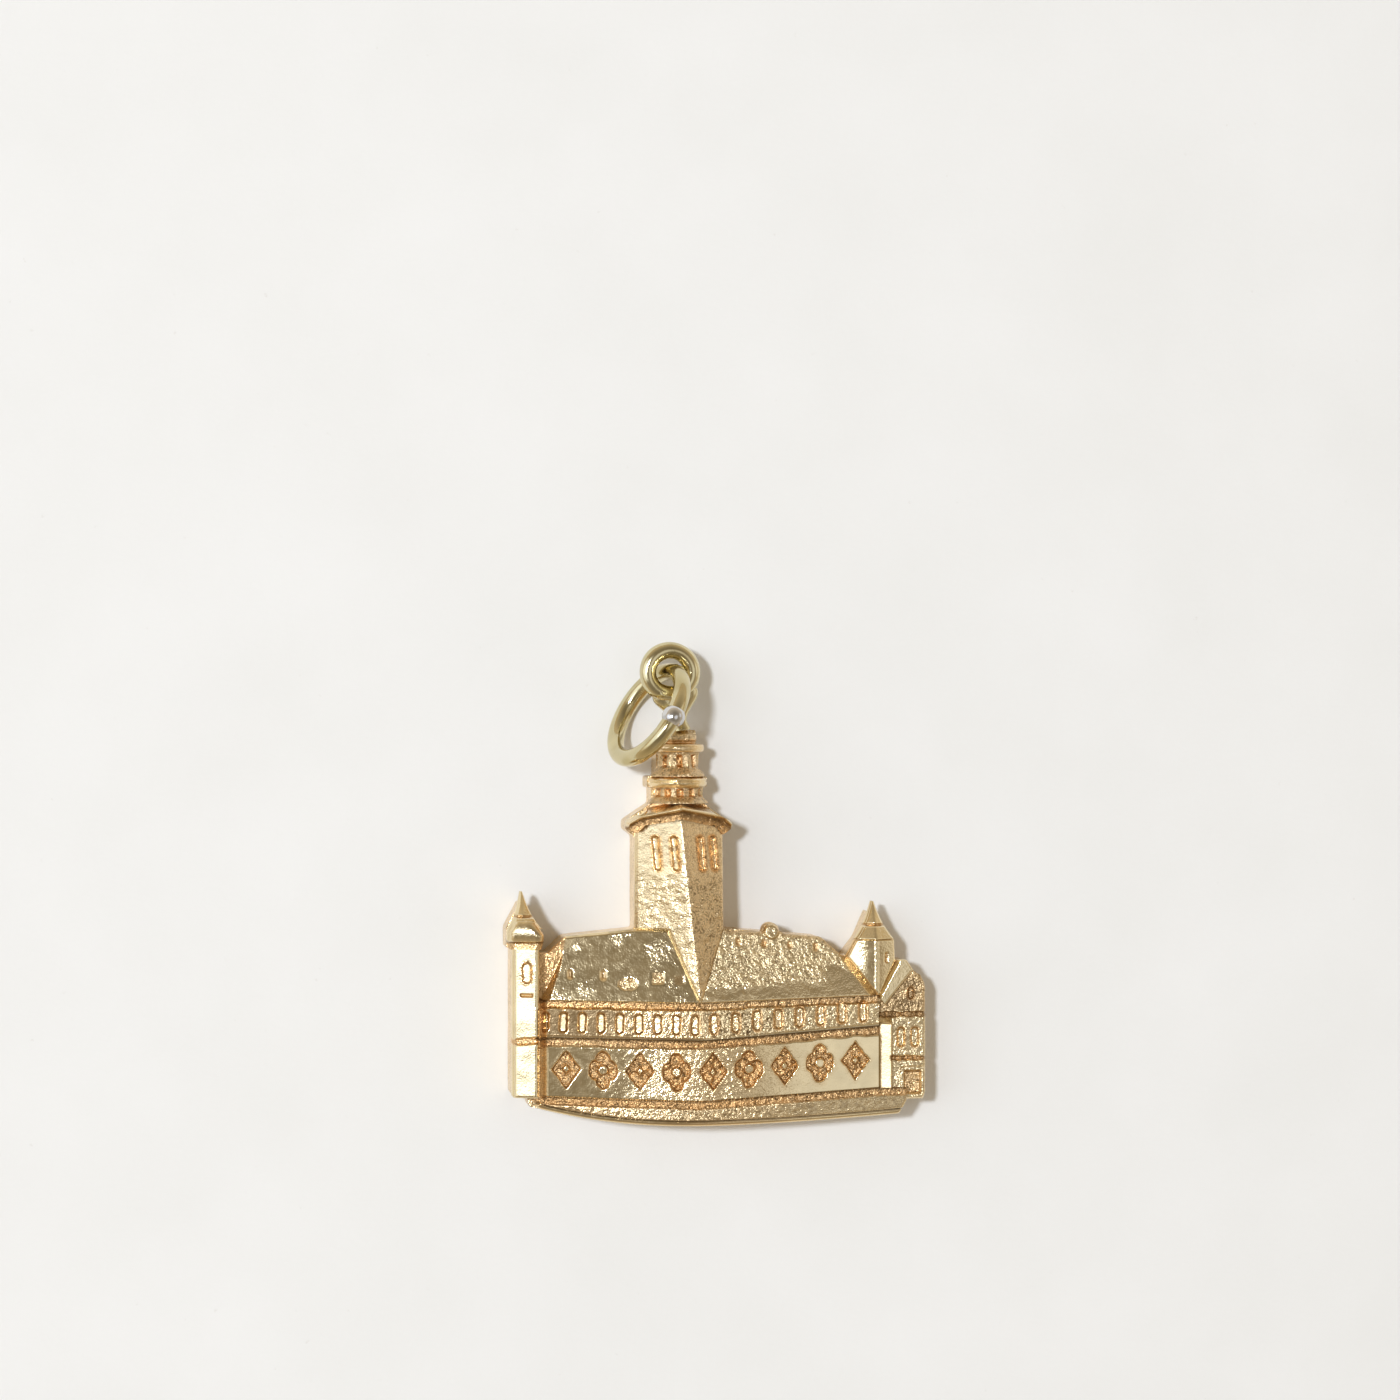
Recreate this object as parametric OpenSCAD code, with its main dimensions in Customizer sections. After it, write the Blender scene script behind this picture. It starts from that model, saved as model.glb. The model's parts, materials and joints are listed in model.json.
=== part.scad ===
// A small cast charm: a long palace front folded into a shallow V, with a square
// tower, corner turrets and a loose ring in an eye on top. It lies on its back.
// X runs along the front, Y up the tower, Z out of the face. Millimetres.

/* [Front] */
// Length of the left wing, from the fold to the corner tower
left_wing = 8; // [6.6:0.05:9.6]
// Length of the right wing, from the fold to the gabled bay
right_wing = 9.1; // [7.5:0.05:11]
// X of the fold, where the two wings meet
fold_x = -1.075; // [-2:0.025:1]
// Height of the plinth at the fold
plinth_h = 1.2; // [1:0.05:1.5]
// Height of the lower wall at the fold
wall_h = 3; // [2.5:0.05:3.6]
// Height of the arcade storey at the fold, from the wall to the eave
arcade_h = 1.9; // [1.6:0.05:2.3]
// Height of the roofs above the eave
roof_h = 3.6; // [3:0.05:4.3]

/* [Depth] */
// Depth of the back shell, from its flat back to the seam
shell_d = 2; // [1.7:0.05:2.4]
// Thickness of the shell's back and side walls
shell_wall = 0.5; // [0.4:0.05:0.6]
// How far the front stands above the seam at its outer ends
relief_end = 0.9; // [0.75:0.05:1.1]
// How far the front stands above the seam at the fold
relief_fold = 2; // [1.6:0.05:2.4]
// Depth of the sunk windows and ornaments
sink = 0.2; // [0.15:0.01:0.3]

/* [Tower] */
// Width of the main tower
tower_w = 4.3; // [3.5:0.05:5.2]
// Height of the main tower above the ridge
tower_h = 5.1; // [4.2:0.05:6.1]
// How far the cornice stands out past the tower's sides
cornice_out = 0.45; // [0.3:0.05:0.6]
// Height of the cornice
cornice_h = 1.15; // [1:0.05:1.4]

/* [Lantern] */
// Radius of the lower drum
drum_r = 1.3; // [1.1:0.05:1.5]
// Height of the lower drum
drum_h = 0.8; // [0.65:0.05:1]
// Radius of the gallery between the drums
gallery_r = 1.5; // [1.25:0.05:1.8]
// Height of the gallery
gallery_h = 0.55; // [0.45:0.05:0.7]
// Radius of the upper drum
upper_r = 1.05; // [0.85:0.05:1.25]
// Height of the upper drum
upper_h = 1.2; // [1:0.05:1.45]
// Radius of the cap's rim
cap_r = 1.35; // [1.1:0.05:1.6]
// Height of the cap
cap_h = 1.1; // [0.9:0.05:1.3]

/* [Corner towers] */
// Width of the left corner tower
corner_w = 1.2; // [1:0.05:1.5]
// Height of the left corner tower, without its cap
corner_h = 7.3; // [6.1:0.05:8.7]
// Height of the left tower's cap
corner_cap_h = 1; // [0.8:0.05:1.2]
// Height of the left tower's spire
spire_h = 1.8; // [1.5:0.05:2.1]
// Width of the right turret
turret_w = 1.9; // [1.5:0.05:2.3]
// Height of the right turret above the eave, without its roof
turret_h = 2.8; // [2.4:0.05:3.3]
// Height of the right turret's roof
turret_roof_h = 1.85; // [1.5:0.05:2.2]
// Width of the gabled bay at the right end
bay_w = 2.5; // [2.1:0.05:3]
// Height of the bay's wall, up to the foot of its gable
bay_h = 5.7; // [4.8:0.05:6.8]

/* [Eye and ring] */
// Radius of the eye, to the middle of its wire
eye_r = 1.1; // [1.05:0.01:1.3]
// Radius of the eye's wire
eye_wire = 0.42; // [0.35:0.01:0.46]
// Height of the eye's hole above the cap
eye_up = 2.88; // [2.4:0.01:3.4]
// Radius of the neck under the eye
neck_r = 0.3; // [0.25:0.01:0.35]
// Radius of the loose ring, to the middle of its wire
ring_r = 2.48; // [2.3:0.01:3]
// Radius of the loose ring's wire
ring_wire = 0.43; // [0.36:0.01:0.46]
// Angle between the resting ring and the charm's face
ring_tilt = 70; // [62:1:74]
// Direction of the ring's length, from +X, in the charm's face
ring_turn = 58; // [50:1:64]
// Radius of the solder bead that closes the ring
bead_r = 0.57; // [0.5:0.01:0.62]

/* [Hidden] */
$fn = 64;
gold = "goldenrod";
pale_gold = "khaki";
silver = "silver";

// Ends of the front, and the levels of its courses at the fold
left_x = fold_x - left_wing;
right_x = fold_x + right_wing;
base_y = -12;
wall_y = base_y + plinth_h;
string_y = wall_y + wall_h;
eave_y = string_y + arcade_h;
ridge_y = eave_y + roof_h;
outer_l = left_x - corner_w;
outer_r = right_x + bay_w;

// Rise of each course from the fold to the left end and to the right end
base_rise = [0.9, 0.4];
wall_rise = [0.3, 0.5];
string_rise = [0.2, 0.6];
eave_rise = [0.15, 0.25];

// Main tower: its sides, its top, and the leaning edge between its two faces
tower_l = fold_x - 3.05;
tower_r = tower_l + tower_w;
tower_y = ridge_y + tower_h;
arris_x = tower_l + 0.49 * tower_w;
arris_lean = atan((fold_x - arris_x) / (tower_y - eave_y));
arris_relief = relief_fold + 0.2;
tower_relief = 0.9;
foot_l = [tower_l + 1.55, ridge_y];
cornice_over = 0.25;

// Lantern: the levels of its stages on one centre line
lantern_x = tower_l + 2.15;
drum_y = tower_y + cornice_h;
gallery_y = drum_y + drum_h;
upper_y = gallery_y + gallery_h;
cap_y = upper_y + upper_h;
neck_y = cap_y + cap_h;
cap_top_r = 0.7 * cap_r;
cap_rim_h = 0.36 * cap_h;

// Left corner tower
corner_y = wall_y + wall_rise[0];
corner_top = corner_y + corner_h;
corner_relief = 2;
corner_fall = 0.4;
corner_over = 0.25;
spire_x = outer_l + 0.37 * corner_w;

// Right turret on its foot at the end of the eave
turret_foot = [right_x, eave_y + eave_rise[1]];
turret_l = turret_foot[0] - 0.55 * turret_w;
turret_r = turret_l + turret_w;
turret_y = turret_foot[1] + turret_h;
turret_tip = [turret_foot[0] - 0.2, turret_y + turret_roof_h];
turret_relief = relief_end + 0.5;
waist_l = [turret_l - 0.45, turret_y - 0.9];
waist_r = [turret_r + 0.05, turret_y - 1.1];

// Gabled bay, with its roof from the turret's foot to the peak
bay_y = wall_y - 0.1;
bay_step = 1.45;
bay_top = min(bay_y + bay_h, waist_r[1] - 0.8);
bay_relief = 0.75;
bay_corner = 0.1;
peak = [max(outer_r - 1, waist_r[0] + 0.3), waist_r[1]];
gable_inner = [right_x + 0.4, turret_foot[1] - 0.5];
gable_outer = [min(peak[0] + 0.3, outer_r - 0.2), peak[1] - 0.45];

// Roofs: the ends of the ridge, and the flank beside the corner tower
hip_l = [left_x + 1.45, ridge_y - 0.35];
flank_l = [left_x + 0.6, min(ridge_y - 1.15, corner_top - 0.25)];
ridge_r = [waist_l[0] - 1.35, ridge_y - 0.45];
valley_r = [waist_l[0] - 0.35, min(waist_l[1] + 0.1, ridge_r[1] - 0.3)];
knob_at = [ridge_r[0] - 2.55, ridge_y - 0.1];
knob_r = 0.45;
roof_back = 0.8;

// How far each spire's tip stands free above the back shell
spire_bare = 0.5;

// Eye and ring: the ring passes through the hole with its low side on the ground, and
// its middle line crosses the eye's plane hang_slack past the middle of the hole
eye_at = [lantern_x - 0.4, neck_y + eye_up];
eye_z = shell_d + 0.3;
neck_x = lantern_x + 0.19;
hang_slack = 0.05;
ring_dir = [cos(ring_turn), sin(ring_turn)];
ring_side = [sin(ring_turn), -cos(ring_turn)];
ring_z = ring_r * sin(ring_tilt) + ring_wire;
hang_angle = asin((eye_z - ring_z) / (ring_r * sin(ring_tilt)));
ring_at = concat(eye_at - (ring_r * cos(hang_angle) - hang_slack) * ring_dir
                 - ring_r * sin(hang_angle) * cos(ring_tilt) * ring_side, ring_z);
bead_turn = 80;
ring_cut = 8;

// Sunk openings: lancets, arcade slots, panels of ornament, small windows and dimples
slot_w = 0.38;
slot_h = 0.95;
eave_groove = 0.4;
lancet_h = 1.7;
motif_w = 1.3;
motif_h = 1.75;
motif_line = 0.36;
motif_count = 9;
pane_w = 0.45;
pane_h = 0.9;

// A course across both wings at a level on the fold, as three points
function course(y, rise) = [[left_x, y + rise[0]], [fold_x, y], [right_x, y + rise[1]]];

// Y of that course at any x
function course_y(y, rise, x) =
    x < fold_x ? y + rise[0] * (fold_x - x) / left_wing : y + rise[1] * (x - fold_x) / right_wing;

// Y of the plinth's foot, which curves up from the fold to its two ends
function foot_y(x) = base_y + (x < fold_x
    ? base_rise[0] * pow((fold_x - x) / (fold_x - foot_ends[0]), 2.3)
    : base_rise[1] * pow((x - fold_x) / (foot_ends[1] - fold_x), 1.7));

function flip(points) = [for (i = [len(points) - 1 : -1 : 0]) points[i]];

// Unit normal to the left of the way from a to b
function side_normal(a, b) = let (d = b - a) [-d[1], d[0]] / norm(d);

// Outline moved inwards by d with mitred corners; its points run counter-clockwise
function inset(points, d) = [for (i = [0 : len(points) - 1])
    let (n = len(points),
         before = side_normal(points[(i + n - 1) % n], points[i]),
         after = side_normal(points[i], points[(i + 1) % n]))
    points[i] + d * (before + after) / (1 + before * after)];

function block(left, low, right, high) = [[left, low], [right, low], [right, high], [left, high]];

// Outlines of the front pieces; neighbours share their edges
plinth_top = concat([[right_x + bay_step, bay_y], [right_x + bay_step, wall_y + wall_rise[1]]],
                    flip(course(wall_y, wall_rise)), [[left_x - 0.45, corner_y]]);
foot_ends = [left_x - 0.3, right_x + bay_step - 0.35];
plinth_foot = [for (i = [0 : 12]) let (x = foot_ends[0] + (foot_ends[1] - foot_ends[0]) * i / 12)
    [x, foot_y(x)]];
bay_out = [[outer_r - bay_corner, bay_y], [outer_r, bay_y + 0.4], [outer_r, bay_top], gable_outer];
cornice_l = [[tower_l - cornice_out, tower_y + 0.3], [tower_l - cornice_out, tower_y - 0.15],
             [tower_l, tower_y - 0.5]];
cornice_r = [[tower_r, tower_y - 0.6], [tower_r + cornice_out, tower_y - 0.15],
             [tower_r + cornice_out, tower_y + 0.25]];
shaft_top = [[tower_r, tower_y - 0.1], [arris_x, tower_y + 0.4], [tower_l, tower_y + 0.2]];

// Half outline of the lantern, as offsets from its centre line
lantern_half = [[drum_r, drum_y], [drum_r, gallery_y], [gallery_r, gallery_y], [gallery_r, upper_y],
                [upper_r, upper_y], [upper_r, cap_y], [cap_r, cap_y], [cap_r, cap_y + cap_rim_h],
                [cap_top_r, cap_y + cap_rim_h], [cap_top_r, neck_y]];
function lantern_side(s) = [for (p = lantern_half) [lantern_x + s * p[0], p[1]]];

corner_out = [[left_x, flank_l[1]], [left_x, corner_top], [left_x + corner_over, corner_top],
              [left_x + corner_over, corner_top + corner_cap_h],
              [spire_x, corner_top + corner_cap_h + spire_h - spire_bare],
              [outer_l - corner_over, corner_top + corner_cap_h],
              [outer_l - corner_over, corner_top], [outer_l, corner_top], [outer_l, corner_y],
              [left_x - 0.45, corner_y]];
silhouette = concat(plinth_foot, [[right_x + bay_step, bay_y]], bay_out,
                    [peak, waist_r, [turret_r, turret_y], turret_tip - [0, spire_bare],
                     [turret_l + 0.25, turret_y], waist_l, valley_r, ridge_r,
                     [tower_r, ridge_y]],
                    cornice_r, lantern_side(1), flip(lantern_side(-1)), cornice_l,
                    [[tower_l, ridge_y], hip_l, flank_l], corner_out);

// A flat outline between two heights
module slab(points, low, high) {
    translate([0, 0, low]) linear_extrude(high - low) polygon(points);
}

// Two faces that meet in an edge, with a base below the seam. The height above the seam
// runs from ends[0] at left to top at edge to ends[1] at right, and the edge leans about a
// point by lean
module two_faced(left, edge, right, ends, top, lean = 0, about = [0, 0]) {
    profile = [[left, -1], [right, -1], [right, ends[1]], [edge, top], [left, ends[0]]];
    translate([about[0], about[1], shell_d]) rotate([0, 0, lean]) translate([-about[0], 50, 0])
        rotate([90, 0, 0]) linear_extrude(100) polygon(profile);
}

// The V of the whole front, raised or sunk by extra
module front_fold(extra = 0) {
    two_faced(left_x - 0.1, fold_x, outer_r, [relief_end + extra, relief_end + extra],
              relief_fold + extra);
}

// A piece of the front: an outline under the V, with what is drawn flat sunk into it
module front_piece(points, extra = 0) {
    difference() {
        intersection() {
            slab(points, shell_d, shell_d + relief_fold + 2);
            front_fold(extra);
        }
        difference() {
            translate([0, 0, shell_d + 0.1]) linear_extrude(relief_fold + 3) children();
            front_fold(extra - sink);
        }
    }
}

// The pocket behind a piece of the front, which leaves its wall all round
module front_pocket(points) {
    intersection() {
        slab(inset(points, shell_wall), shell_d - 1, shell_d + relief_fold);
        front_fold(-shell_wall - sink);
    }
}

// A roof: an outline under the V whose top falls back from the eave to the ridge
module roof_piece(points) {
    fall = atan(roof_back / roof_h);
    difference() {
        intersection() {
            slab(points, shell_d, shell_d + relief_fold + 2);
            front_fold();
            translate([left_x - 5, eave_y - 0.2, shell_d]) rotate([90, 0, 90])
                linear_extrude(40) polygon([[0, 0], [roof_h + 1, 0],
                    [roof_h + 1, relief_fold - roof_back], [0, relief_fold + 0.1]]);
        }
        translate([0, 0, shell_d + 0.5]) linear_extrude(relief_fold + 1) children();
    }
}

// A piece of the left corner tower: its face falls from its right side to its left
module corner_piece(points, extra) {
    intersection() {
        slab(points, shell_d, shell_d + 4);
        two_faced(outer_l - 1, left_x, left_x + 1, [corner_relief - 2 * corner_fall + extra,
                  corner_relief + extra], corner_relief + extra);
    }
}

// A slot with round ends, upright on its centre
module slot(x, y, w, h) {
    translate([x, y]) {
        square([w, h - w], center = true);
        for (s = [-1, 1])
            translate([0, s * (h - w) / 2]) circle(w / 2);
    }
}

// Half a drum that stands out of the seam, with its axis along Y
module half_drum(x, y, r, h) {
    intersection() {
        translate([x, y + h, shell_d]) rotate([90, 0, 0]) cylinder(h = h, r = r);
        translate([x - 2 * r, y - 1, shell_d]) cube([4 * r, h + 2, 2 * r]);
    }
}

// Panel ornament: a lozenge ring or a ring of four lobes, by turns
module motif(i) {
    lozenge = [[0, -motif_h / 2], [motif_w / 2, 0], [0, motif_h / 2], [-motif_w / 2, 0]];
    lobe = motif_w / 4;
    difference() {
        if (i % 2 == 0) polygon(lozenge);
        else for (a = [0 : 90 : 270])
            rotate(a) translate([lobe, 0]) circle(lobe);
        if (i % 2 == 0) polygon(inset(lozenge, motif_line));
        else circle(lobe * 0.75);
    }
}

module back_shell() {
    hall = [[left_x, base_y + base_rise[0] + 0.3], [fold_x, base_y + 0.2],
            [right_x, base_y + base_rise[1] + 0.2], turret_foot, ridge_r, [tower_r, ridge_y],
            [tower_l, ridge_y], hip_l];
    color(gold) difference() {
        slab(silhouette, 0, shell_d);
        slab(inset(hall, shell_wall), shell_wall, shell_d + 1);
        slab(inset(block(tower_l, ridge_y, tower_r, drum_y), shell_wall), shell_wall, shell_d + 1);
        slab(inset(block(outer_l, corner_y, left_x, corner_top), shell_wall), shell_wall,
             shell_d + 1);
        slab(inset(block(right_x, bay_y + 0.5, outer_r, bay_top), shell_wall), shell_wall,
             shell_d + 1);
    }
}

module base_plinth() {
    color(gold) front_piece(concat(plinth_foot, plinth_top), 0.1);
}

module lower_wall() {
    panel = (right_x - left_x - 0.8) / motif_count;
    face = concat(course(wall_y, wall_rise), flip(course(string_y, string_rise)));
    color(gold) difference() {
        front_piece(face)
            for (i = [0 : motif_count - 1])
                let (x = left_x + 0.5 + (i + 0.5) * panel,
                     low = course_y(wall_y, wall_rise, x),
                     high = course_y(string_y, string_rise, x))
                translate([x, (low + high) / 2 - 0.05]) motif(i);
        front_pocket(face);
    }
}

module arcade_storey() {
    slot_y = string_y + 0.75;
    face = concat(course(string_y, string_rise), flip(course(eave_y, eave_rise)));
    color(gold) difference() {
        front_piece(face) {
            for (i = [0 : 8])
                let (x = left_x + 0.35 + i * (left_wing - 0.6) / 8)
                slot(x, course_y(slot_y, eave_rise, x), slot_w, slot_h);
            for (i = [0 : 7])
                let (x = fold_x + 0.7 + i * (right_wing - 1.5) / 7)
                slot(x, course_y(slot_y, string_rise, x), slot_w, slot_h);
            polygon(concat(course(eave_y - eave_groove, eave_rise),
                           flip(course(eave_y, eave_rise))));
        }
        front_pocket(face);
    }
}

module left_roof() {
    color(gold) roof_piece([[left_x, eave_y + eave_rise[0]], [fold_x, eave_y], foot_l,
                            [tower_l, ridge_y], hip_l, flank_l, [left_x, flank_l[1]]])
        for (x = [left_x + 1.6, left_x + 3.25])
            slot(x, eave_y + 1.3, 0.4, 0.6);
}

module right_roof() {
    color(gold) union() {
        roof_piece([[fold_x, eave_y], turret_foot, waist_l, valley_r, ridge_r, [tower_r, ridge_y]])
            for (i = [0 : 3])
                slot(tower_r + 0.8 + i * 1.3, ridge_y - 0.6, 0.35, 0.5);
        intersection() {
            translate([knob_at[0], knob_at[1], shell_d]) cylinder(h = 0.9, r = knob_r);
            slab(block(left_x, ridge_y - 1.2, right_x, ridge_y + 2), 0, 2 * shell_d);
        }
    }
}

module tower_shaft() {
    color(gold) difference() {
        intersection() {
            slab(concat([[fold_x, eave_y], [tower_r, ridge_y]], shaft_top,
                        [[tower_l, ridge_y], foot_l]), shell_d, shell_d + 4);
            two_faced(tower_l - 1, fold_x, tower_r + 2, [tower_relief, tower_relief],
                      arris_relief, arris_lean, [fold_x, eave_y]);
        }
        for (x = [0.22, 0.42, 0.74, 0.88])
            translate([0, 0, shell_d + arris_relief * 0.55]) linear_extrude(3)
                slot(tower_l + x * tower_w, tower_y - 1.3, slot_w, lancet_h);
        intersection() {
            slab(inset(block(tower_l, ridge_y, tower_r, tower_y - 2.3), shell_wall),
                 shell_d - 1, shell_d + 4);
            two_faced(tower_l - 1, fold_x, tower_r + 2, [tower_relief, tower_relief],
                      arris_relief - shell_wall, arris_lean, [fold_x, eave_y]);
        }
    }
}

module tower_cornice() {
    color(gold) intersection() {
        slab(concat(flip(shaft_top), cornice_r,
                    [[lantern_x + drum_r, drum_y], [lantern_x - drum_r, drum_y]], cornice_l),
             shell_d, shell_d + 4);
        two_faced(tower_l - 2, fold_x, tower_r + 3, [tower_relief, tower_relief],
                  arris_relief + cornice_over, arris_lean, [fold_x, eave_y]);
    }
}

module lantern_drum() {
    color(gold) half_drum(lantern_x, drum_y, drum_r, drum_h);
}

module lantern_gallery() {
    color(gold) half_drum(lantern_x, gallery_y, gallery_r, gallery_h);
}

module lantern_upper() {
    color(gold) half_drum(lantern_x, upper_y, upper_r, upper_h);
}

module lantern_cap() {
    color(gold) union() {
        half_drum(lantern_x, cap_y, cap_r, cap_rim_h);
        half_drum(lantern_x, cap_y, cap_top_r, cap_h);
    }
}

module left_tower() {
    color(gold) difference() {
        corner_piece(block(outer_l, corner_y, left_x, corner_top), 0);
        difference() {
            translate([outer_l + corner_w / 2, 0, shell_d + 0.5]) linear_extrude(3) {
                slot(0, corner_top - 0.85, 0.45, 1);
                translate([0, corner_top - 2]) square([0.6, 0.15], center = true);
                translate([0, string_y]) square([corner_w, 0.35], center = true);
            }
            corner_piece(block(outer_l, corner_y - 1, left_x, corner_top), -sink);
        }
    }
}

module left_tower_cap() {
    color(gold) corner_piece(block(outer_l - corner_over, corner_top, left_x + corner_over,
                                   corner_top + corner_cap_h), 0.2);
}

module left_spire() {
    low = corner_top + corner_cap_h;
    color(gold) intersection() {
        slab([[outer_l - corner_over, low], [left_x + corner_over, low], [spire_x, low + spire_h]],
             shell_d, shell_d + 2);
        two_faced(outer_l - 1, spire_x, left_x + 1, [0.2, 0.2], corner_relief);
    }
}

module right_turret() {
    color(gold) difference() {
        intersection() {
            slab([turret_foot, waist_r, [turret_r, turret_y], [turret_l, turret_y], waist_l],
                 shell_d, shell_d + 3);
            two_faced(turret_l - 1, turret_foot[0], turret_r + 1, [0.4, 0.4], turret_relief);
        }
        translate([0, 0, shell_d + 0.8]) linear_extrude(2)
            slot(turret_r - 0.5, turret_y - 0.9, 0.3, 0.6);
    }
}

module turret_roof() {
    color(gold) intersection() {
        slab([[turret_l, turret_y], [turret_r, turret_y], turret_tip], shell_d, shell_d + 3);
        two_faced(turret_l - 1, turret_tip[0], turret_r + 1, [0.3, 0.3], turret_relief);
    }
}

module gabled_bay() {
    mid = (right_x + outer_r) / 2 + 0.35;
    color(gold) difference() {
        slab(concat([[right_x, wall_y + wall_rise[1]],
                     [right_x + bay_step, wall_y + wall_rise[1]], [right_x + bay_step, bay_y]],
                    bay_out, [gable_inner, turret_foot]), shell_d, shell_d + bay_relief);
        translate([0, 0, shell_d + bay_relief - sink]) linear_extrude(1) {
            for (x = [-0.35, 0.35])
                slot(mid + x, string_y + 0.25, pane_w, pane_h);
            slot(mid + 0.15, bay_top - 0.4, 0.3, 0.6);
            translate([mid - 0.4, bay_y + 0.5]) square([0.9, 1.1]);
            for (y = [bay_top - 1.4, string_y - 0.95])
                translate([mid - 0.9, y]) square([1.8, 0.15]);
        }
    }
}

module gable_roof() {
    color(gold) slab([turret_foot, gable_inner, gable_outer, peak, waist_r],
                     shell_d, shell_d + bay_relief + 0.25);
}

module hanging_eye() {
    color(pale_gold) union() {
        translate([eye_at[0], eye_at[1], eye_z]) rotate_extrude()
            translate([eye_r, 0]) circle(eye_wire);
        translate([neck_x, neck_y, eye_z]) rotate([-90, 0, 0])
            cylinder(h = eye_up - sqrt(pow(eye_r, 2) - pow(neck_x - eye_at[0], 2)), r = neck_r);
    }
}

// Places what is drawn in the ring's own plane: X to the eye, Y up its high side
module in_ring() {
    translate(ring_at) rotate([0, 0, ring_turn]) rotate([180 - ring_tilt, 0, 0]) children();
}

module jump_ring() {
    color(pale_gold) in_ring() rotate(bead_turn + ring_cut / 2)
        rotate_extrude(angle = 360 - ring_cut) translate([ring_r, 0]) circle(ring_wire);
}

module ring_solder() {
    color(silver) in_ring() rotate(bead_turn) translate([ring_r, 0, 0]) sphere(bead_r);
}

back_shell();
base_plinth();
lower_wall();
arcade_storey();
left_roof();
right_roof();
tower_shaft();
tower_cornice();
lantern_drum();
lantern_gallery();
lantern_upper();
lantern_cap();
left_tower();
left_tower_cap();
left_spire();
right_turret();
turret_roof();
gabled_bay();
gable_roof();
hanging_eye();
jump_ring();
ring_solder();
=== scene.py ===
"""A small gold charm of a palace front, lying on its back on pale paper.

Every visible surface is worked out with numpy, as a sheet of heights inside four border lines or
as a profile carried along a path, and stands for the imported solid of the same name. Lengths in
this file are millimetres until add_piece() writes them to a mesh in metres.
"""
import json

import bpy
import numpy as np
from mathutils import Matrix, Vector
from mathutils.geometry import delaunay_2d_cdt


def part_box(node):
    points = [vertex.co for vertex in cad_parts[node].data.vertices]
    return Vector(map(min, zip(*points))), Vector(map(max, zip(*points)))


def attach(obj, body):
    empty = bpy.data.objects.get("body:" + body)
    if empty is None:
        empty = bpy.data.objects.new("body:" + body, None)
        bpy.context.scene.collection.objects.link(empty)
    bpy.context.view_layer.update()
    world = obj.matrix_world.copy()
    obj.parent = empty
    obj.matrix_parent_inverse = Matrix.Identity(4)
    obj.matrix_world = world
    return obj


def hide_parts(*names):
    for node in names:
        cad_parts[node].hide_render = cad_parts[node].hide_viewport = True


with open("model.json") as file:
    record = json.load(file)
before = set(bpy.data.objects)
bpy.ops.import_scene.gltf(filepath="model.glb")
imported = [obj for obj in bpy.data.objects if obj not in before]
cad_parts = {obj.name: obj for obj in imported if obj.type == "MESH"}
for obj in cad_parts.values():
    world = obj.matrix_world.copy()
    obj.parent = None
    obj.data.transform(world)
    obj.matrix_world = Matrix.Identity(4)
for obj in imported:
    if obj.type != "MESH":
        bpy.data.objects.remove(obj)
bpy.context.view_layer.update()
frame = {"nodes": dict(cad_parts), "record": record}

MM = 0.001            # metres in a millimetre
CELL = 0.042          # spacing of the grids of the large faces
FINE = 0.034          # the same where there are slots and ornaments
FINEST = 0.03         # the same on the small towers
GRAIN = 0.09          # size of the sandy grains in the metals
HAIR = 0.004          # how far a sheet reaches past its outline before it drops to the seam
AROUND = 64           # points round a wire
STEP = 0.4            # how far the shaft runs up behind the cornice
ARRIS_SHARE = 0.49    # where the tower's front edge stands at its top, as a share of its width
CORNER_SLOPE = 0.364  # fall of the left corner tower's face, which is turned by 20 degrees
FOLD_SOFT = 1.3       # how softly the two wings meet
WORN = 0.86           # brightness of the worn metal against the fresh
SHADE_AND_BLOTCH_TONE = 0.16           # brightness of the painted shade in cracks, hollows and grain pits, and of darker blotches, against the metal of the recesses
COOL = (0.94, 1.0, 1.10)
WARM = (1.0, 0.84, 0.62)


# ---------------------------------------------------------------- places, read from the frame

def corners(node):
    """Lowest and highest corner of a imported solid, in millimetres."""
    low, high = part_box(node)
    return np.array(low) / MM, np.array(high) / MM


def points_of(node):
    """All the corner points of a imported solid, in millimetres."""
    mesh = frame["nodes"][node].data
    flat = np.zeros(len(mesh.vertices) * 3)
    mesh.vertices.foreach_get("co", flat)
    return flat.reshape(-1, 3) / MM


def reach_at(node, x, axis):
    """Lowest and highest coordinate along an axis of the solid's points at a given x."""
    points = points_of(node)
    here = points[np.abs(points[:, 0] - x) < 0.02][:, axis]
    return here.min(), here.max()


wall_low, wall_high = corners("lower_wall")
left_x, right_x, seam = wall_low[0], wall_high[0], wall_low[2]
wall_points = points_of("lower_wall")
fold_x = wall_points[wall_points[:, 2].argmax(), 0]
course_x = np.array([left_x, fold_x, right_x])


def course(node, which):
    """The lower (0) or upper (1) border of a storey, as three points across both wings."""
    return np.array([[x, reach_at(node, x, 1)[which]] for x in course_x])


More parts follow.
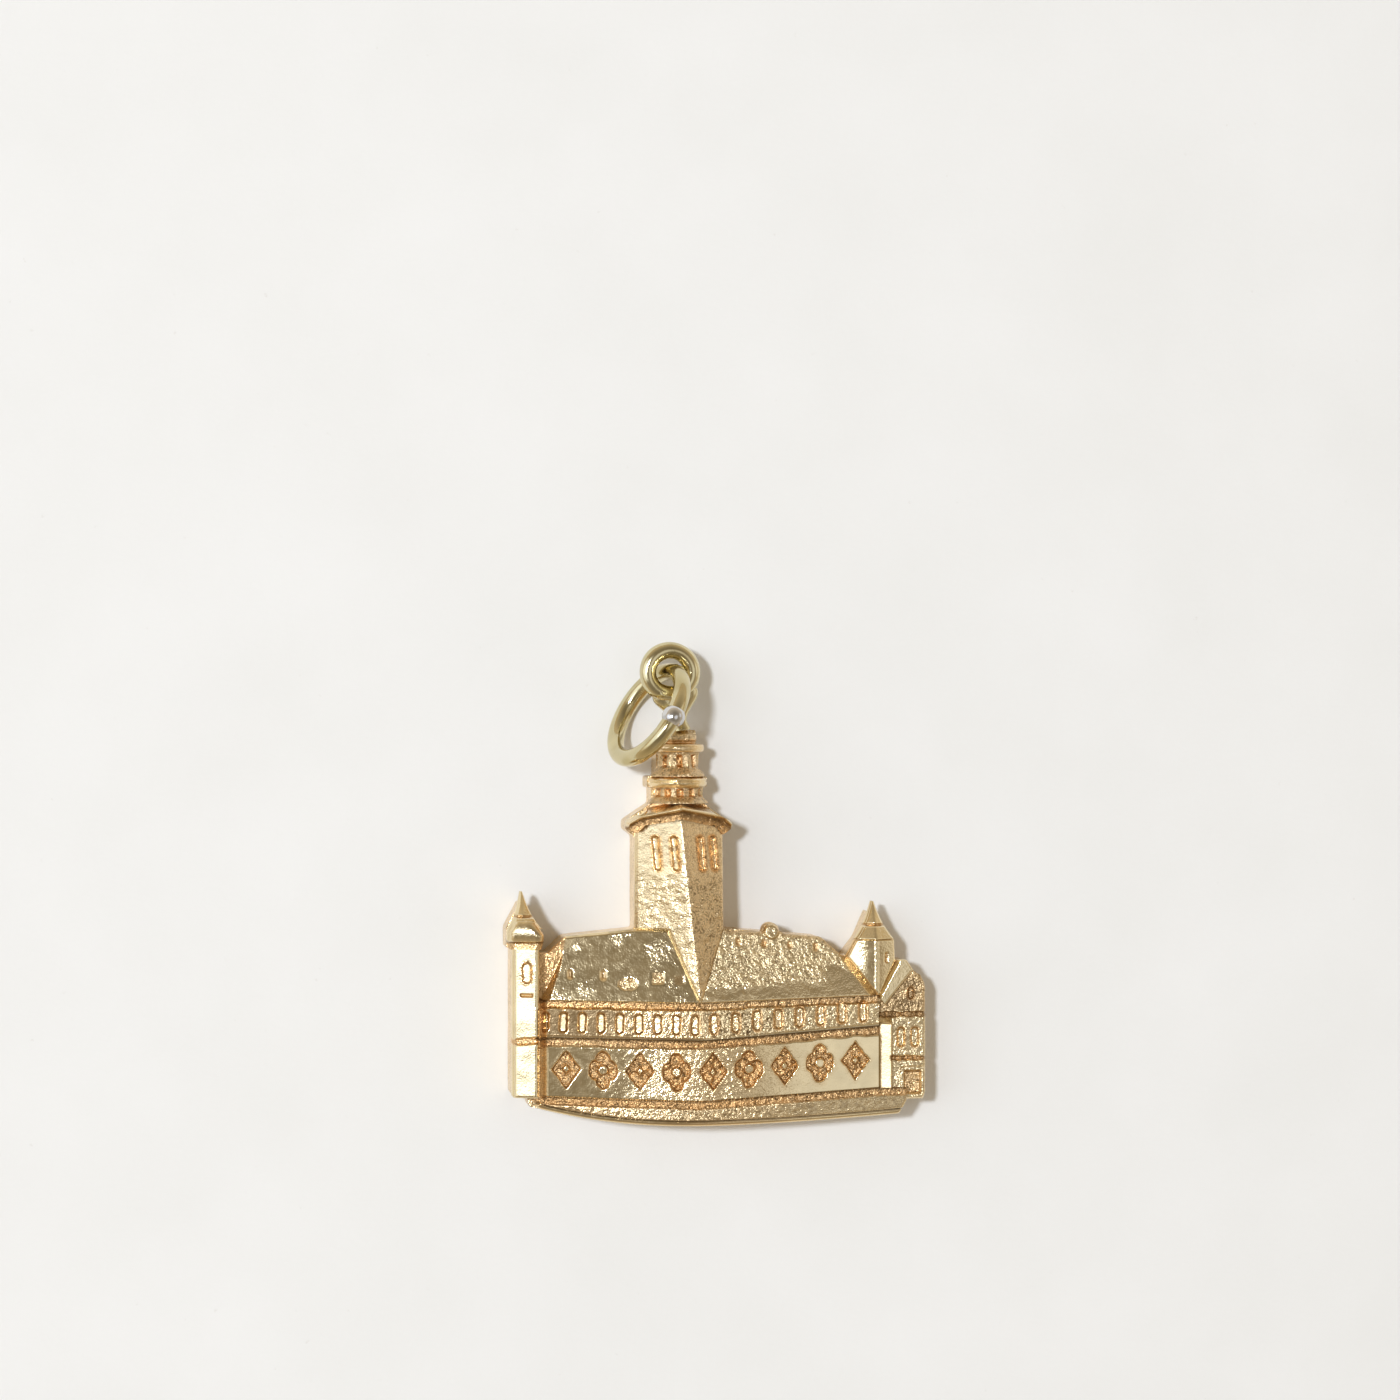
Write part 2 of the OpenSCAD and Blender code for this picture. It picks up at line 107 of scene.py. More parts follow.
wall_foot = course("lower_wall", 0)
string_course = course("lower_wall", 1)
eave = course("arcade_storey", 1)
crest = [reach_at("lower_wall", x, 2)[1] for x in course_x]
plinth_low, plinth_high = corners("base_plinth")
shaft_low, shaft_high = corners("tower_shaft")
tower_l, tower_r = shaft_low[0], shaft_high[0]
tower_y = shaft_high[1] - STEP
ridge_y = corners("left_roof")[1][1]
arris_top = np.array([tower_l + ARRIS_SHARE * (tower_r - tower_l), tower_y])
arris_z = shaft_high[2]
drum_low, drum_high = corners("lantern_drum")
lantern_x = (drum_low[0] + drum_high[0]) / 2
corner_low, corner_high = corners("left_tower")
cap_low, cap_high = corners("left_tower_cap")
spire_low, spire_high = corners("left_spire")
turret_high = corners("right_turret")[1]
bay_low, bay_high = corners("gabled_bay")
gable_high = corners("gable_roof")[1]
eye_low, eye_high = corners("hanging_eye")
turret_foot = np.array([right_x, eave[2][1]])


# ---------------------------------------------------------------- numbers over a surface

def ease(low, high, value):
    """0 below low, 1 above high, with a smooth S between them."""
    t = np.clip((value - low) / (high - low), 0, 1)
    return t * t * (3 - 2 * t)


def fade(low, high, value):
    """1 below low, 0 above high: ease() turned over."""
    return 1 - ease(low, high, value)


def band(low, high, value, soft=0.03):
    """1 between low and high and 0 outside, with soft flanks."""
    return ease(low - soft, low + soft, value) * fade(high - soft, high + soft, value)


def along(line, share):
    """Points at given shares of the length of a polyline."""
    line = np.asarray(line, float)
    run = np.r_[0, np.cumsum(np.hypot(*np.diff(line, axis=0).T))]
    at = np.asarray(share) * run[-1]
    return np.c_[np.interp(at, run, line[:, 0]), np.interp(at, run, line[:, 1])]


def level(line, x):
    """Y of a course at any x."""
    line = np.asarray(line)
    return np.interp(x, line[:, 0], line[:, 1])


def away(x, y, line):
    """Distance of every point from a polyline: the least distance from its segments."""
    line = np.asarray(line, float)
    best = np.full(np.shape(x), 1e9)
    for a, b in zip(line[:-1], line[1:]):
        run = b - a
        t = np.clip(((x - a[0]) * run[0] + (y - a[1]) * run[1]) / (run @ run + 1e-12), 0, 1)
        best = np.minimum(best, np.hypot(x - a[0] - t * run[0], y - a[1] - t * run[1]))
    return best


LATTICE = np.random.default_rng(7).random((8, 128, 128))


def grain(x, y, size, layer=0):
    """Smooth noise from -1 to 1: random values on a tilted square lattice, joined by S curves."""
    u, v = (0.8 * x + 0.6 * y) / size + 61.3, (0.8 * y - 0.6 * x) / size + 47.9
    i, j = np.floor(u).astype(int), np.floor(v).astype(int)
    s, t = ease(0, 1, u - i), ease(0, 1, v - j)
    value = LATTICE[layer % 8]
    a, b = value[i % 128, j % 128], value[(i + 1) % 128, j % 128]
    c, d = value[i % 128, (j + 1) % 128], value[(i + 1) % 128, (j + 1) % 128]
    return 2 * ((a * (1 - s) + b * s) * (1 - t) + (c * (1 - s) + d * s) * t) - 1


def skin(x, y, rough, layer=0):
    """Height of the cast skin: long soft waves everywhere, and grains where it is rough."""
    wave = 0.012 * grain(x, y, 1.6, layer) + 0.003 * grain(x, y, 0.6, layer + 1)
    grains = 0.014 * grain(x, y, 0.21, layer + 2) + 0.024 * grain(x, y, 0.12, layer + 3)
    return wave + rough * grains


def slot(x, y, cx, cy, w, h):
    """Distance outside an upright slot with round ends; negative inside it."""
    return np.hypot(x - cx, np.maximum(np.abs(y - cy) - (h - w) / 2, 0)) - w / 2


def pane(x, y, cx, cy, w, h):
    """Distance outside an upright rectangle; negative inside it."""
    dx, dy = np.abs(x - cx) - w / 2, np.abs(y - cy) - h / 2
    return np.hypot(np.maximum(dx, 0), np.maximum(dy, 0)) + np.minimum(np.maximum(dx, dy), 0)


def lozenge_ring(dx, dy, w, h, line):
    """Distance outside a band of the given width just inside a lozenge's outline."""
    d = (np.abs(dx) * h / 2 + np.abs(dy) * w / 2 - w * h / 4) / np.hypot(w / 2, h / 2)
    return np.maximum(d, -(d + line))


def lobed_ring(dx, dy, w, h):
    """Distance outside four round lobes that leave a round boss in their middle."""
    lobe = w / 4
    stretch = h / w
    far = [np.hypot(dx - sx * lobe, (dy - sy * lobe * stretch) / stretch) - lobe
           for sx, sy in ((1, 0), (-1, 0), (0, 1), (0, -1))]
    return np.maximum(np.minimum.reduce(far), 0.7 * lobe - np.hypot(dx, dy))


def rounded(gap, radius):
    """Drop of a rounded edge: a quarter circle within radius of the outline."""
    inside = np.clip(1 - gap / radius, 0, 1)
    return radius * (1 - np.sqrt(1 - inside * inside))


def bevel(x, y, line, radius):
    """Drop of the rounded edge along a border line."""
    return rounded(away(x, y, line), radius)


def crease(d, radius):
    """Distance from a line with its sharp zero rounded off: sqrt(d^2 + r^2) - r."""
    return np.sqrt(d * d + radius * radius) - radius


# ---------------------------------------------------------------- sheets and meshes

def spread(length, cell):
    """Shares from 0 to 1 for a grid line, with extra rows close to both ends."""
    count = max(int(length / cell), 6)
    edge = 0.14 / max(length, 0.5)
    near = edge * np.array([0, 0.1, 0.25, 0.45, 0.7])
    return np.r_[near, np.linspace(edge, 1 - edge, count), 1 - near[::-1]]


def length_of(line):
    """Length of a polyline."""
    return np.hypot(*np.diff(np.asarray(line, float), axis=0).T).sum()


def patch(bottom, right, top, left, cell=CELL):
    """Grid inside four border lines: each point blends the opposite borders (a Coons patch)."""
    u = spread(max(length_of(bottom), length_of(top)), cell)
    v = spread(max(length_of(left), length_of(right)), cell)
    b, t, l, r = along(bottom, u), along(top, u), along(left, v), along(right, v)
    u, v = u[:, None, None], v[None, :, None]
    ends = (1 - u) * (1 - v) * b[0] + u * (1 - v) * b[-1] + (1 - u) * v * t[0] + u * v * t[-1]
    grid = (1 - v) * b[:, None] + v * t[:, None] + (1 - u) * l[None] + u * r[None] - ends
    return grid[..., 0], grid[..., 1]


def upright(left, right, cell):
    """Grid between two side lines whose ends are joined straight."""
    return patch([left[0], right[0]], right, [left[-1], right[-1]], left, cell)


def grid_faces(rows, columns):
    """Corner numbers of every square of a grid."""
    i, j = np.meshgrid(np.arange(rows - 1), np.arange(columns - 1), indexing="ij")
    a = (i * columns + j).ravel()
    return np.c_[a, a + columns, a + columns + 1, a + 1]


def relief(x, y, z, tint=0, rough=0, dark=0, floor=None):
    """A closed part from a sheet of heights: walls drop from its rim to a flat underside."""
    floor = seam if floor is None else floor
    marks = [np.broadcast_to(m, x.shape) * 1.0 for m in (tint, rough, dark)]
    for out, drop in ((HAIR, 0.0), (HAIR, 0.97), (HAIR, 1.0)):
        x, y, z = (np.pad(a, 1, mode="edge") for a in (x, y, z))
        marks = [np.pad(m, 1, mode="edge") for m in marks]
        rim = np.ones(x.shape, bool)
        rim[1:-1, 1:-1] = False
        x[0, :] -= out
        x[-1, :] += out
        y[:, 0] -= out
        y[:, -1] += out
        z[rim] += (floor - z[rim]) * drop
    numbers = np.arange(x.size).reshape(x.shape)
    loop = np.r_[numbers[:-1, 0], numbers[-1, :-1], numbers[:0:-1, -1], numbers[0, :0:-1]]
    points = np.stack([x, y, z], -1).reshape(-1, 3)
    return points, grid_faces(*x.shape), [loop[::-1]], [m.ravel() for m in marks]


def half_turned(y_low, y_high, radius, flat=1.0, tint=0, rough=0, dark=0):
    """Half a turned stage standing out of the seam: a closed part.

    radius(share of height, angle) is its outline; the angle runs from its right side over the
    front to its left side, and flat scales its depth."""
    share = np.r_[0, 0.004, np.linspace(0.02, 0.98, 44), 0.996, 1]
    angle = np.linspace(0, np.pi, 200)
    s, a = np.meshgrid(share, angle, indexing="ij")
    r = radius(s, a)
    arc, y = a * np.mean(r), y_low + s * (y_high - y_low)
    value = lambda m: (m(s, a) if callable(m) else m) + np.zeros(s.shape)
    tint, rough, dark = value(tint), value(rough), value(dark)
    r = r + skin(arc, y, rough)
    x, z = lantern_x + r * np.cos(a), seam + flat * r * np.sin(a)
    numbers = np.arange(x.size).reshape(x.shape)
    back = np.r_[numbers[:, 0], numbers[::-1, -1]][::-1]
    points = np.stack([x, y, z], -1).reshape(-1, 3)
    return (points, grid_faces(*x.shape), [back, numbers[0, :], numbers[-1, ::-1]],
            [tint.ravel(), rough.ravel(), dark.ravel()])


def tube(centre, side, up, radius, closed, tint=0, rough=0, dark=0):
    """A closed part: circles of the given radii round the points of a path.

    Point (i, a) is centre_i + radius_i,a * (side_i * cos a + up_i * sin a)."""
    around = np.linspace(0, 2 * np.pi, AROUND, endpoint=False)
    radius = np.broadcast_to(radius, (len(centre), len(around)))[..., None]
    turn = side[:, None] * np.cos(around)[:, None] + up[:, None] * np.sin(around)[:, None]
    points = centre[:, None] + radius * turn
    rows = np.arange(len(centre) if closed else len(centre) - 1)
    i, j = np.meshgrid(rows, np.arange(AROUND), indexing="ij")
    i2, j2 = (i + 1) % len(centre), (j + 1) % AROUND
    faces = np.stack([i * AROUND + j, i2 * AROUND + j, i2 * AROUND + j2, i * AROUND + j2], -1)
    first = np.arange(AROUND)
    last = first + AROUND * (len(centre) - 1)
    marks = [np.broadcast_to(m, points.shape[:2]).ravel() * 1.0 for m in (tint, rough, dark)]
    loops = [] if closed else [first, last[::-1]]
    return points.reshape(-1, 3), faces.reshape(-1, 4), loops, marks


def add_piece(node, slot_name, *parts, body="charm"):
    """One mesh from closed parts, in its slot's metal, which stands for the solid of that name."""
    verts, faces, marks, base = [], [], [[], [], []], 0
    for points, squares, loops, part_marks in parts:
        verts.append(points)
        faces += (squares + base).tolist()
        faces += [(np.asarray(loop) + base).tolist() for loop in loops]
        for store, values in zip(marks, part_marks):
            store.append(values)
        base += len(points)
    mesh = bpy.data.meshes.new(node + "_cast")
    mesh.from_pydata((np.vstack(verts) * MM).tolist(), [], faces)
    # tint is a rosier metal, rough a rougher skin, and dark a painted shade, with some darker blotches
    for label, values in zip(("tint", "rough", "dark"), marks):
        layer = mesh.attributes.new(label, "FLOAT", "POINT")
        layer.data.foreach_set("value", np.clip(np.concatenate(values), 0, 1).astype(np.float32))
    mesh.polygons.foreach_set("use_smooth", np.array([len(f) <= 4 for f in faces]))
    mesh.materials.append(METALS[slot_name])
    mesh.update()
    piece = bpy.data.objects.new(node + "_cast", mesh)
    bpy.context.scene.collection.objects.link(piece)
    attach(piece, body)
    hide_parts(node)


def cast(node, slot_name, *sheet):
    """A piece made of one sheet: x, y, z and its tint, rough and dark marks."""
    add_piece(node, slot_name, relief(*sheet))


# ---------------------------------------------------------------- metals and paper

def node_tree(name):
    """A new material with its node tree, shader and Object coordinates."""
    material = bpy.data.materials.new(name)
    material.use_nodes = True
    tree = material.node_tree
    shader = tree.nodes["Principled BSDF"]
    place = tree.nodes.new("ShaderNodeTexCoord").outputs["Object"]
    return material, tree, shader, place


def noise(tree, place, size, detail=3):
    """Noise with features of the given size in millimetres."""
    node = tree.nodes.new("ShaderNodeTexNoise")
    node.inputs["Scale"].default_value = 1 / (size * MM)
    node.inputs["Detail"].default_value = detail
    tree.links.new(place, node.inputs["Vector"])
    return node.outputs["Fac"]


def ramp(tree, value, low, high, out_low, out_high):
    """A value carried from one range to another, and held at its ends."""
    node = tree.nodes.new("ShaderNodeMapRange")
    for socket, number in zip(("From Min", "From Max", "To Min", "To Max"),
                              (low, high, out_low, out_high)):
        node.inputs[socket].default_value = number
    tree.links.new(value, node.inputs["Value"])
    return node.outputs["Result"]


def combine(tree, kind, a, b):
    """Sum or product of two values."""
    node = tree.nodes.new("ShaderNodeMath")
    node.operation = kind
    tree.links.new(a, node.inputs[0])
    tree.links.new(b, node.inputs[1])
    return node.outputs["Value"]


def blend_colour(tree, share, first, second):
    """Colour between two others; each is a colour or a socket."""
    node = tree.nodes.new("ShaderNodeMix")
    node.data_type = "RGBA"
    tree.links.new(share, node.inputs["Factor"])
    for socket, colour in ((node.inputs[6], first), (node.inputs[7], second)):
        if isinstance(colour, tuple):
            socket.default_value = (*colour, 1)
        else:
            tree.links.new(colour, socket)
    return node.outputs[2]


def mark(tree, label):
    """A piece's own attribute."""
    node = tree.nodes.new("ShaderNodeAttribute")
    node.attribute_name = label
    return node.outputs["Fac"]


def metal(name, face, recess, smooth, coarse, pit=0.026):
    """Worn cast metal: rosier and rougher in its recesses, with painted shade in its cracks, hollows and
    grain pits, finely grained.
    """
    material, tree, shader, place = node_tree(name)
    cloud = ramp(tree, noise(tree, place, 1.1, 4), 0.35, 0.68, 0, 1)
    worn = tuple(WORN * c for c in face)
    colour = blend_colour(tree, cloud, face, worn)
    colour = blend_colour(tree, mark(tree, "tint"), colour, recess)
    cell = tree.nodes.new("ShaderNodeTexVoronoi")
    cell.inputs["Scale"].default_value = 1 / (GRAIN * MM)
    tree.links.new(place, cell.inputs["Vector"])
    # gaps: painted shade in the pits between the grains
    gaps = ramp(tree, cell.outputs["Distance"], 0.40, 0.72, 0, 0.95)
    gaps = combine(tree, "MULTIPLY", gaps, ramp(tree, noise(tree, place, 0.3, 3), 0.35, 0.6, 0.25, 1))
    # Painted shade in the tone below: the grain pits of rough skin, and each piece's dark mark
    shade_and_blotches = combine(tree, "MULTIPLY", gaps, ramp(tree, mark(tree, "rough"), 0.25, 1, 0, 1))
    shade_and_blotches = combine(tree, "MAXIMUM", shade_and_blotches, mark(tree, "dark"))
    colour = blend_colour(tree, shade_and_blotches, colour, tuple(SHADE_AND_BLOTCH_TONE * c for c in recess))
    tree.links.new(colour, shader.inputs["Base Color"])
    grained = ramp(tree, mark(tree, "rough"), 0, 1, smooth, coarse)
    breath = ramp(tree, noise(tree, place, 0.35, 3), 0.3, 0.7, -0.03, 0.04)
    tree.links.new(combine(tree, "ADD", grained, breath), shader.inputs["Roughness"])
    shader.inputs["Metallic"].default_value = 1
    bump = tree.nodes.new("ShaderNodeBump")
    bump.inputs["Distance"].default_value = pit * MM
    strength = ramp(tree, mark(tree, "rough"), 0, 1, 0.08, 1.0)
    tree.links.new(strength, bump.inputs["Strength"])
    knobs = ramp(tree, cell.outputs["Distance"], 0, 0.8, 1, 0)
    height = combine(tree, "ADD", knobs, noise(tree, place, 0.05, 2))
    tree.links.new(height, bump.inputs["Height"])
    tree.links.new(bump.outputs["Normal"], shader.inputs["Normal"])
    return material


def paper(name):
    """Off-white laid paper with a fine tooth and a few darker fibres."""
    material, tree, shader, place = node_tree(name)
    soft = ramp(tree, noise(tree, place, 9, 5), 0.3, 0.7, 0, 1)
    colour = blend_colour(tree, soft, (0.845, 0.84, 0.81), (0.875, 0.87, 0.845))
    fibre = ramp(tree, noise(tree, place, 0.5, 4), 0.72, 0.8, 0, 0.35)
    colour = blend_colour(tree, fibre, colour, (0.66, 0.63, 0.57))
    tree.links.new(colour, shader.inputs["Base Color"])
    shader.inputs["Roughness"].default_value = 0.9
    shader.inputs["Specular IOR Level"].default_value = 0.2
    bump = tree.nodes.new("ShaderNodeBump")
    bump.inputs["Distance"].default_value = 0.03 * MM
    bump.inputs["Strength"].default_value = 0.5
    tree.links.new(noise(tree, place, 0.25, 4), bump.inputs["Height"])
    tree.links.new(bump.outputs["Normal"], shader.inputs["Normal"])
    return material


ROSY = (0.86, 0.52, 0.23)
METALS = {
    "cast_gold": metal("cast_gold", (0.90, 0.73, 0.45), ROSY, 0.16, 0.34),
    "polished_gold": metal("polished_gold", (0.90, 0.75, 0.47), ROSY, 0.12, 0.34),
    "pale_gold": metal("pale_gold", (0.72, 0.63, 0.38), (0.52, 0.42, 0.20), 0.11, 0.3, 0.008),
    "solder": metal("solder", (0.74, 0.73, 0.72), (0.5, 0.45, 0.4), 0.12, 0.35, 0.01),
}


# ---------------------------------------------------------------- the front and its two wings

def wing_z(x):
    """Height of the folded front: two straight slopes that meet, softly, at the fold."""
    slope_l = (crest[1] - crest[0]) / (fold_x - left_x)
    slope_r = (crest[1] - crest[2]) / (right_x - fold_x)
    d = x - fold_x
    return crest[1] - np.where(d < 0, slope_l, slope_r) * crease(d, FOLD_SOFT)


def pit_shade(x, y, size=0.18, layer=1):
    """Share of painted shade in the pits of a granular skin, as dark specks."""
    return ease(0.05, 0.6, grain(x, y, size, layer))


def corner_fillet(x):
    """How the storeys rise to the corner tower at their left end, and how rosy they are there."""
    t = fade(0.0, 0.62, x - left_x)
    return 0.95 * t * t, ease(0.0, 0.35, t)


def fold_grain(x, at=0.5, width=3.4):
    """Share of granular skin round the fold, where the polish never reached."""
    return at * np.exp(-((x - fold_x - 0.6) / width) ** 2)


def build_plinth():
    """Plinth: a smooth lip, a dark line of painted shade, a granular slope and a rosy row under the wall.
    """
    step_x = plinth_high[0]
    top = np.vstack([[[plinth_low[0], corner_low[1]]], wall_foot, [[step_x, wall_foot[2][1]]]])
    ends = plinth_low[0] + 0.15, step_x - 0.35
    run = np.linspace(*ends, 40)
    rise = np.where(run < fold_x, 0.9 * np.clip((fold_x - run) / (fold_x - ends[0]), 0, 1) ** 2.3,
                    0.4 * np.clip((run - fold_x) / (ends[1] - fold_x), 0, 1) ** 1.7)
    foot = np.c_[run, plinth_low[1] + rise]
    right = [foot[-1], [step_x, bay_low[1]], top[-1]]
    left = [foot[0], [plinth_low[0], foot[0][1] + 0.25], top[0]]
    x, y = patch(foot, right, top, left)
    low, high = level(foot, x), level(top, x)
    up, down = y - low, high - y
    lip = fade(0.22, 0.26, up)
    line = band(0.22, 0.30, up, 0.03)
    row = fade(0.28, 0.42, down)
    rough = np.clip(0.42 + fold_grain(x, 0.35, 4) + 0.9 * row - 1.4 * lip, 0, 1)
    rosy = corner_fillet(np.maximum(x, left_x))[1]
    z = wing_z(x) + 0.14 - 0.12 * lip - 0.10 * line - 0.10 * row - 0.07 * np.clip(1 - up, 0, 1)
    z += np.where(x > left_x, 0, -0.25 * ease(0, 0.5, left_x - x))
    z += skin(x, y, rough) - rounded(up, 0.14) - bevel(x, y, left, 0.12)
    z -= bevel(x, y, right, 0.12)
    # shade: the left wing painted darker and rosier, as painted shade of the wing that reflects the dark
    # overhead
    shade = (1 - lip) * ease(1.0, 7.0, fold_x - x)
    tint = 0.75 * row + 0.25 * fold_grain(x, 1, 4) + 0.2 * rosy + 0.4 * shade
    # Painted shade: the dark line, a strip just under the wall's foot, the left wing, and specks in the
    # granular pits
    dark = np.maximum(0.9 * line + 0.8 * fade(0.03, 0.10, down), 0.24 * shade)
    dark = np.maximum(dark, (0.30 + 0.25 * row) * pit_shade(x, y) * (1 - lip))
    cast("base_plinth", "cast_gold", x, y, z, tint, rough, dark)


def build_lower_wall():
    """Lower wall: polished, with nine sunk ornaments and a granular strip under the storey."""
    count, width, tall, line = 9, 1.38, 1.84, 0.42
    right = [wall_foot[2], string_course[2]]
    left = [wall_foot[0], string_course[0]]
    x, y = patch(wall_foot, right, string_course, left, FINE)
    low, high = level(wall_foot, x), level(string_course, x)
    down = high - y
    wave = 0.05 * grain(x, y, 0.5, 5)
    strip = fade(0.30, 0.46, down + wave)
    panel = (right_x - left_x - 0.8) / count
    ring = np.full(x.shape, 9.0)
    for i in range(count):
        cx = left_x + 0.5 + (i + 0.5) * panel
        cy = (level(wall_foot, cx) + level(string_course, cx)) / 2 - 0.05
        dx, dy = x - cx, y - cy
        d = lozenge_ring(dx, dy, width, tall, line) if i % 2 == 0 else lobed_ring(dx, dy, width, tall)
        ring = np.minimum(ring, d + 0.03 * grain(x, y, 0.2, 4))
    sunk = fade(-0.05, 0.05, ring)
    halo = fade(0.0, 0.28, ring)
    rise, rosy = corner_fillet(x)
    rough = np.clip(0.03 + fold_grain(x) + 0.9 * strip + 0.9 * sunk + 0.12 * halo + 0.6 * rosy, 0, 1)
    z = wing_z(x) + rise - 0.20 * sunk - 0.10 * strip - rounded(y - low, 0.07)
    z += skin(x, y, rough) + 0.05 * sunk * grain(x, y, 0.17, 6)
    tint = (0.8 * strip + 0.8 * sunk + 0.15 * halo * (1 - sunk) + 0.7 * rosy
            + 0.25 * fold_grain(x, 1))
    # Painted shade: a dark line under the string course, a dark ring just inside each ornament's edge, and
    # specks in the granular pits
    dark = 0.9 * fade(0.05, 0.13, down) + 0.45 * band(-0.08, 0.0, ring, 0.04)
    dark = np.maximum(dark, 0.5 * np.maximum(sunk, strip) * pit_shade(x, y))
    cast("lower_wall", "polished_gold", x, y, z, tint, rough, dark)


def build_arcade():
    """Arcade storey: a row of scooped slots between piers, under a rosy groove at the eave."""
    right = [string_course[2], eave[2]]
    left = [string_course[0], eave[0]]
    x, y = patch(string_course, right, eave, left, FINE)
    low, high = level(string_course, x), level(eave, x)
    up, down = y - low, high - y
    wing_l, wing_r = fold_x - left_x, right_x - fold_x
    many_l, many_r, wide, tall, sill = 9, 8, 0.44, 1.04, 0.80
    centres = [left_x + 0.35 + i * (wing_l - 0.6) / (many_l - 1) for i in range(many_l)]
    centres += [fold_x + 0.7 + i * (wing_r - 1.5) / (many_r - 1) for i in range(many_r)]
    rim, across = np.full(x.shape, 9.0), np.zeros(x.shape)
    for cx in centres:
        hole = slot(x, y, cx, level(string_course, cx) + sill, wide, tall)
        across = np.where(hole < rim, x - cx, across)
        rim = np.minimum(rim, hole)
    rim = rim + 0.025 * grain(x, y, 0.18, 3)
    sunk = fade(-0.10, 0.02, rim)
    groove = fade(0.30, 0.42, down + 0.04 * grain(x, y, 0.4, 2))
    ledge = fade(0.10, 0.18, up)
    rise, rosy = corner_fillet(x)
    right_wing = ease(fold_x - 0.5, fold_x + 1.0, x)
    rough = np.clip(0.05 + fold_grain(x) + 0.62 * right_wing + 0.6 * groove - 0.6 * ledge, 0, 1)
    rough = rough * (1 - 0.5 * sunk)
    z = wing_z(x) + rise + 0.05 * ledge - 0.16 * sunk + 0.17 * sunk * across - 0.20 * groove
    z += skin(x, y, rough) - rounded(up, 0.06)
    lip = band(-0.02, 0.08, rim, 0.03)
    # The left wing is painted rosier here and darker below: painted shade of the wing that reflects the
    # dark overhead
    tint = (0.65 * groove + (0.35 + 0.4 * right_wing) * lip + 0.6 * rosy
            + 0.3 * right_wing * sunk + 0.30 * (1 - right_wing))
    # Painted shade: dark lines under the eave and over the string course, a dark rim inside each slot, the
    # left wing, and specks in the groove's pits
    dark = 0.85 * fade(0.04, 0.14, down) + 0.85 * fade(0.04, 0.10, up)
    dark = np.maximum(dark, 0.35 * band(-0.10, -0.02, rim, 0.03))
    dark = np.maximum(dark, 0.22 * (1 - right_wing) * (1 - sunk))
    dark = np.maximum(dark, 0.45 * groove * pit_shade(x, y))
    cast("arcade_storey", "cast_gold", x, y, z, tint, rough, dark)


def roof_z(x, y):
    """Roofs lean back: their height over the fold falls from the eave up to the ridge."""
    lean = (y - level(eave, x)) / (ridge_y - eave[1][1])
    return wing_z(x) + 0.04 - 0.8 * np.clip(lean, 0, 1.2)


hip_l = np.array([left_x + 1.45, ridge_y - 0.35])
flank_l = np.array([left_x + 0.6, ridge_y - 1.15])
foot_l = np.array([tower_l + 1.55, ridge_y])


def build_left_roof():
    """Left roof: a satin slope with a hip, two dimples and three blank punch marks."""
    bottom = [eave[0], eave[1]]
    top = [[left_x, flank_l[1]], flank_l, hip_l, [tower_l, ridge_y], foot_l]
    left = [eave[0], [left_x, flank_l[1]]]
    right = [eave[1], foot_l]
    x, y = patch(bottom, right, top, left)
    up = y - level(eave, x)
    hip_x = np.interp(y, [eave[0][1], ridge_y - 1.8, hip_l[1]],
                      [left_x + 0.62, left_x + 1.2, hip_l[0]])
    beyond = hip_x - x
    z = roof_z(x, y)
    flank = ease(-0.03, 0.08, beyond)
    z = np.maximum(z - 1.0 * crease(np.maximum(beyond, 0), 0.05), seam + 0.75)
    marks = [slot(x, y, left_x + 1.62, eave[0][1] + 1.28, 0.38, 0.58),
             slot(x, y, left_x + 3.25, eave[0][1] + 1.22, 0.42, 0.62)]
    dimple = np.minimum(*marks)
    oval = np.hypot((x - left_x - 4.45) / 0.52, (y - eave[0][1] - 0.80) / 0.34) - 1
    square = pane(x, y, left_x + 5.95, eave[0][1] + 1.08, 0.62, 0.62)
    faint = pane(x, y, left_x + 7.0, eave[0][1] + 0.98, 0.5, 0.45)
    scoop = fade(-0.2, 0.02, dimple)
    stamp = np.maximum(fade(-0.25, 0.05, oval), fade(-0.1, 0.03, square))
    trace = fade(-0.1, 0.05, faint)
    patches = ease(0.1, 0.9, grain(x, y, 0.9, 4) + 0.4 * grain(x, y, 0.3, 2))
    rough = np.clip(0.07 + 0.16 * patches + 0.7 * stamp + 0.5 * flank, 0, 1)
    z += skin(x, y, rough) - 0.12 * scoop - 0.07 * stamp - 0.03 * trace
    z += 0.05 * stamp * grain(x, y, 0.16, 5)
    z -= rounded(up, 0.08) + bevel(x, y, top[2:], 0.12) + 0.4 * bevel(x, y, right, 0.1)
    tint = 0.55 * scoop + 0.35 * stamp + 0.8 * flank + 0.3 * trace
    # Painted shade in a dark outline round the oval and square stamps; the satin patches are also darker
    # at random
    dark = 0.30 * band(0.0, 0.1, np.minimum(oval, square) + 0.02, 0.06) + 0.25 * patches * (1 - stamp)
    cast("left_roof", "polished_gold", x, y, z, tint, rough, dark)


turret_l, turret_r, turret_y = turret_foot[0] - 1.045, turret_foot[0] + 0.855, turret_foot[1] + 2.8
waist_l = np.array([turret_l - 0.45, turret_y - 0.9])
waist_r = np.array([turret_r + 0.05, turret_y - 1.1])
ridge_r = np.array([waist_l[0] - 1.35, ridge_y - 0.45])
valley_r = np.array([waist_l[0] - 0.35, waist_l[1] + 0.1])


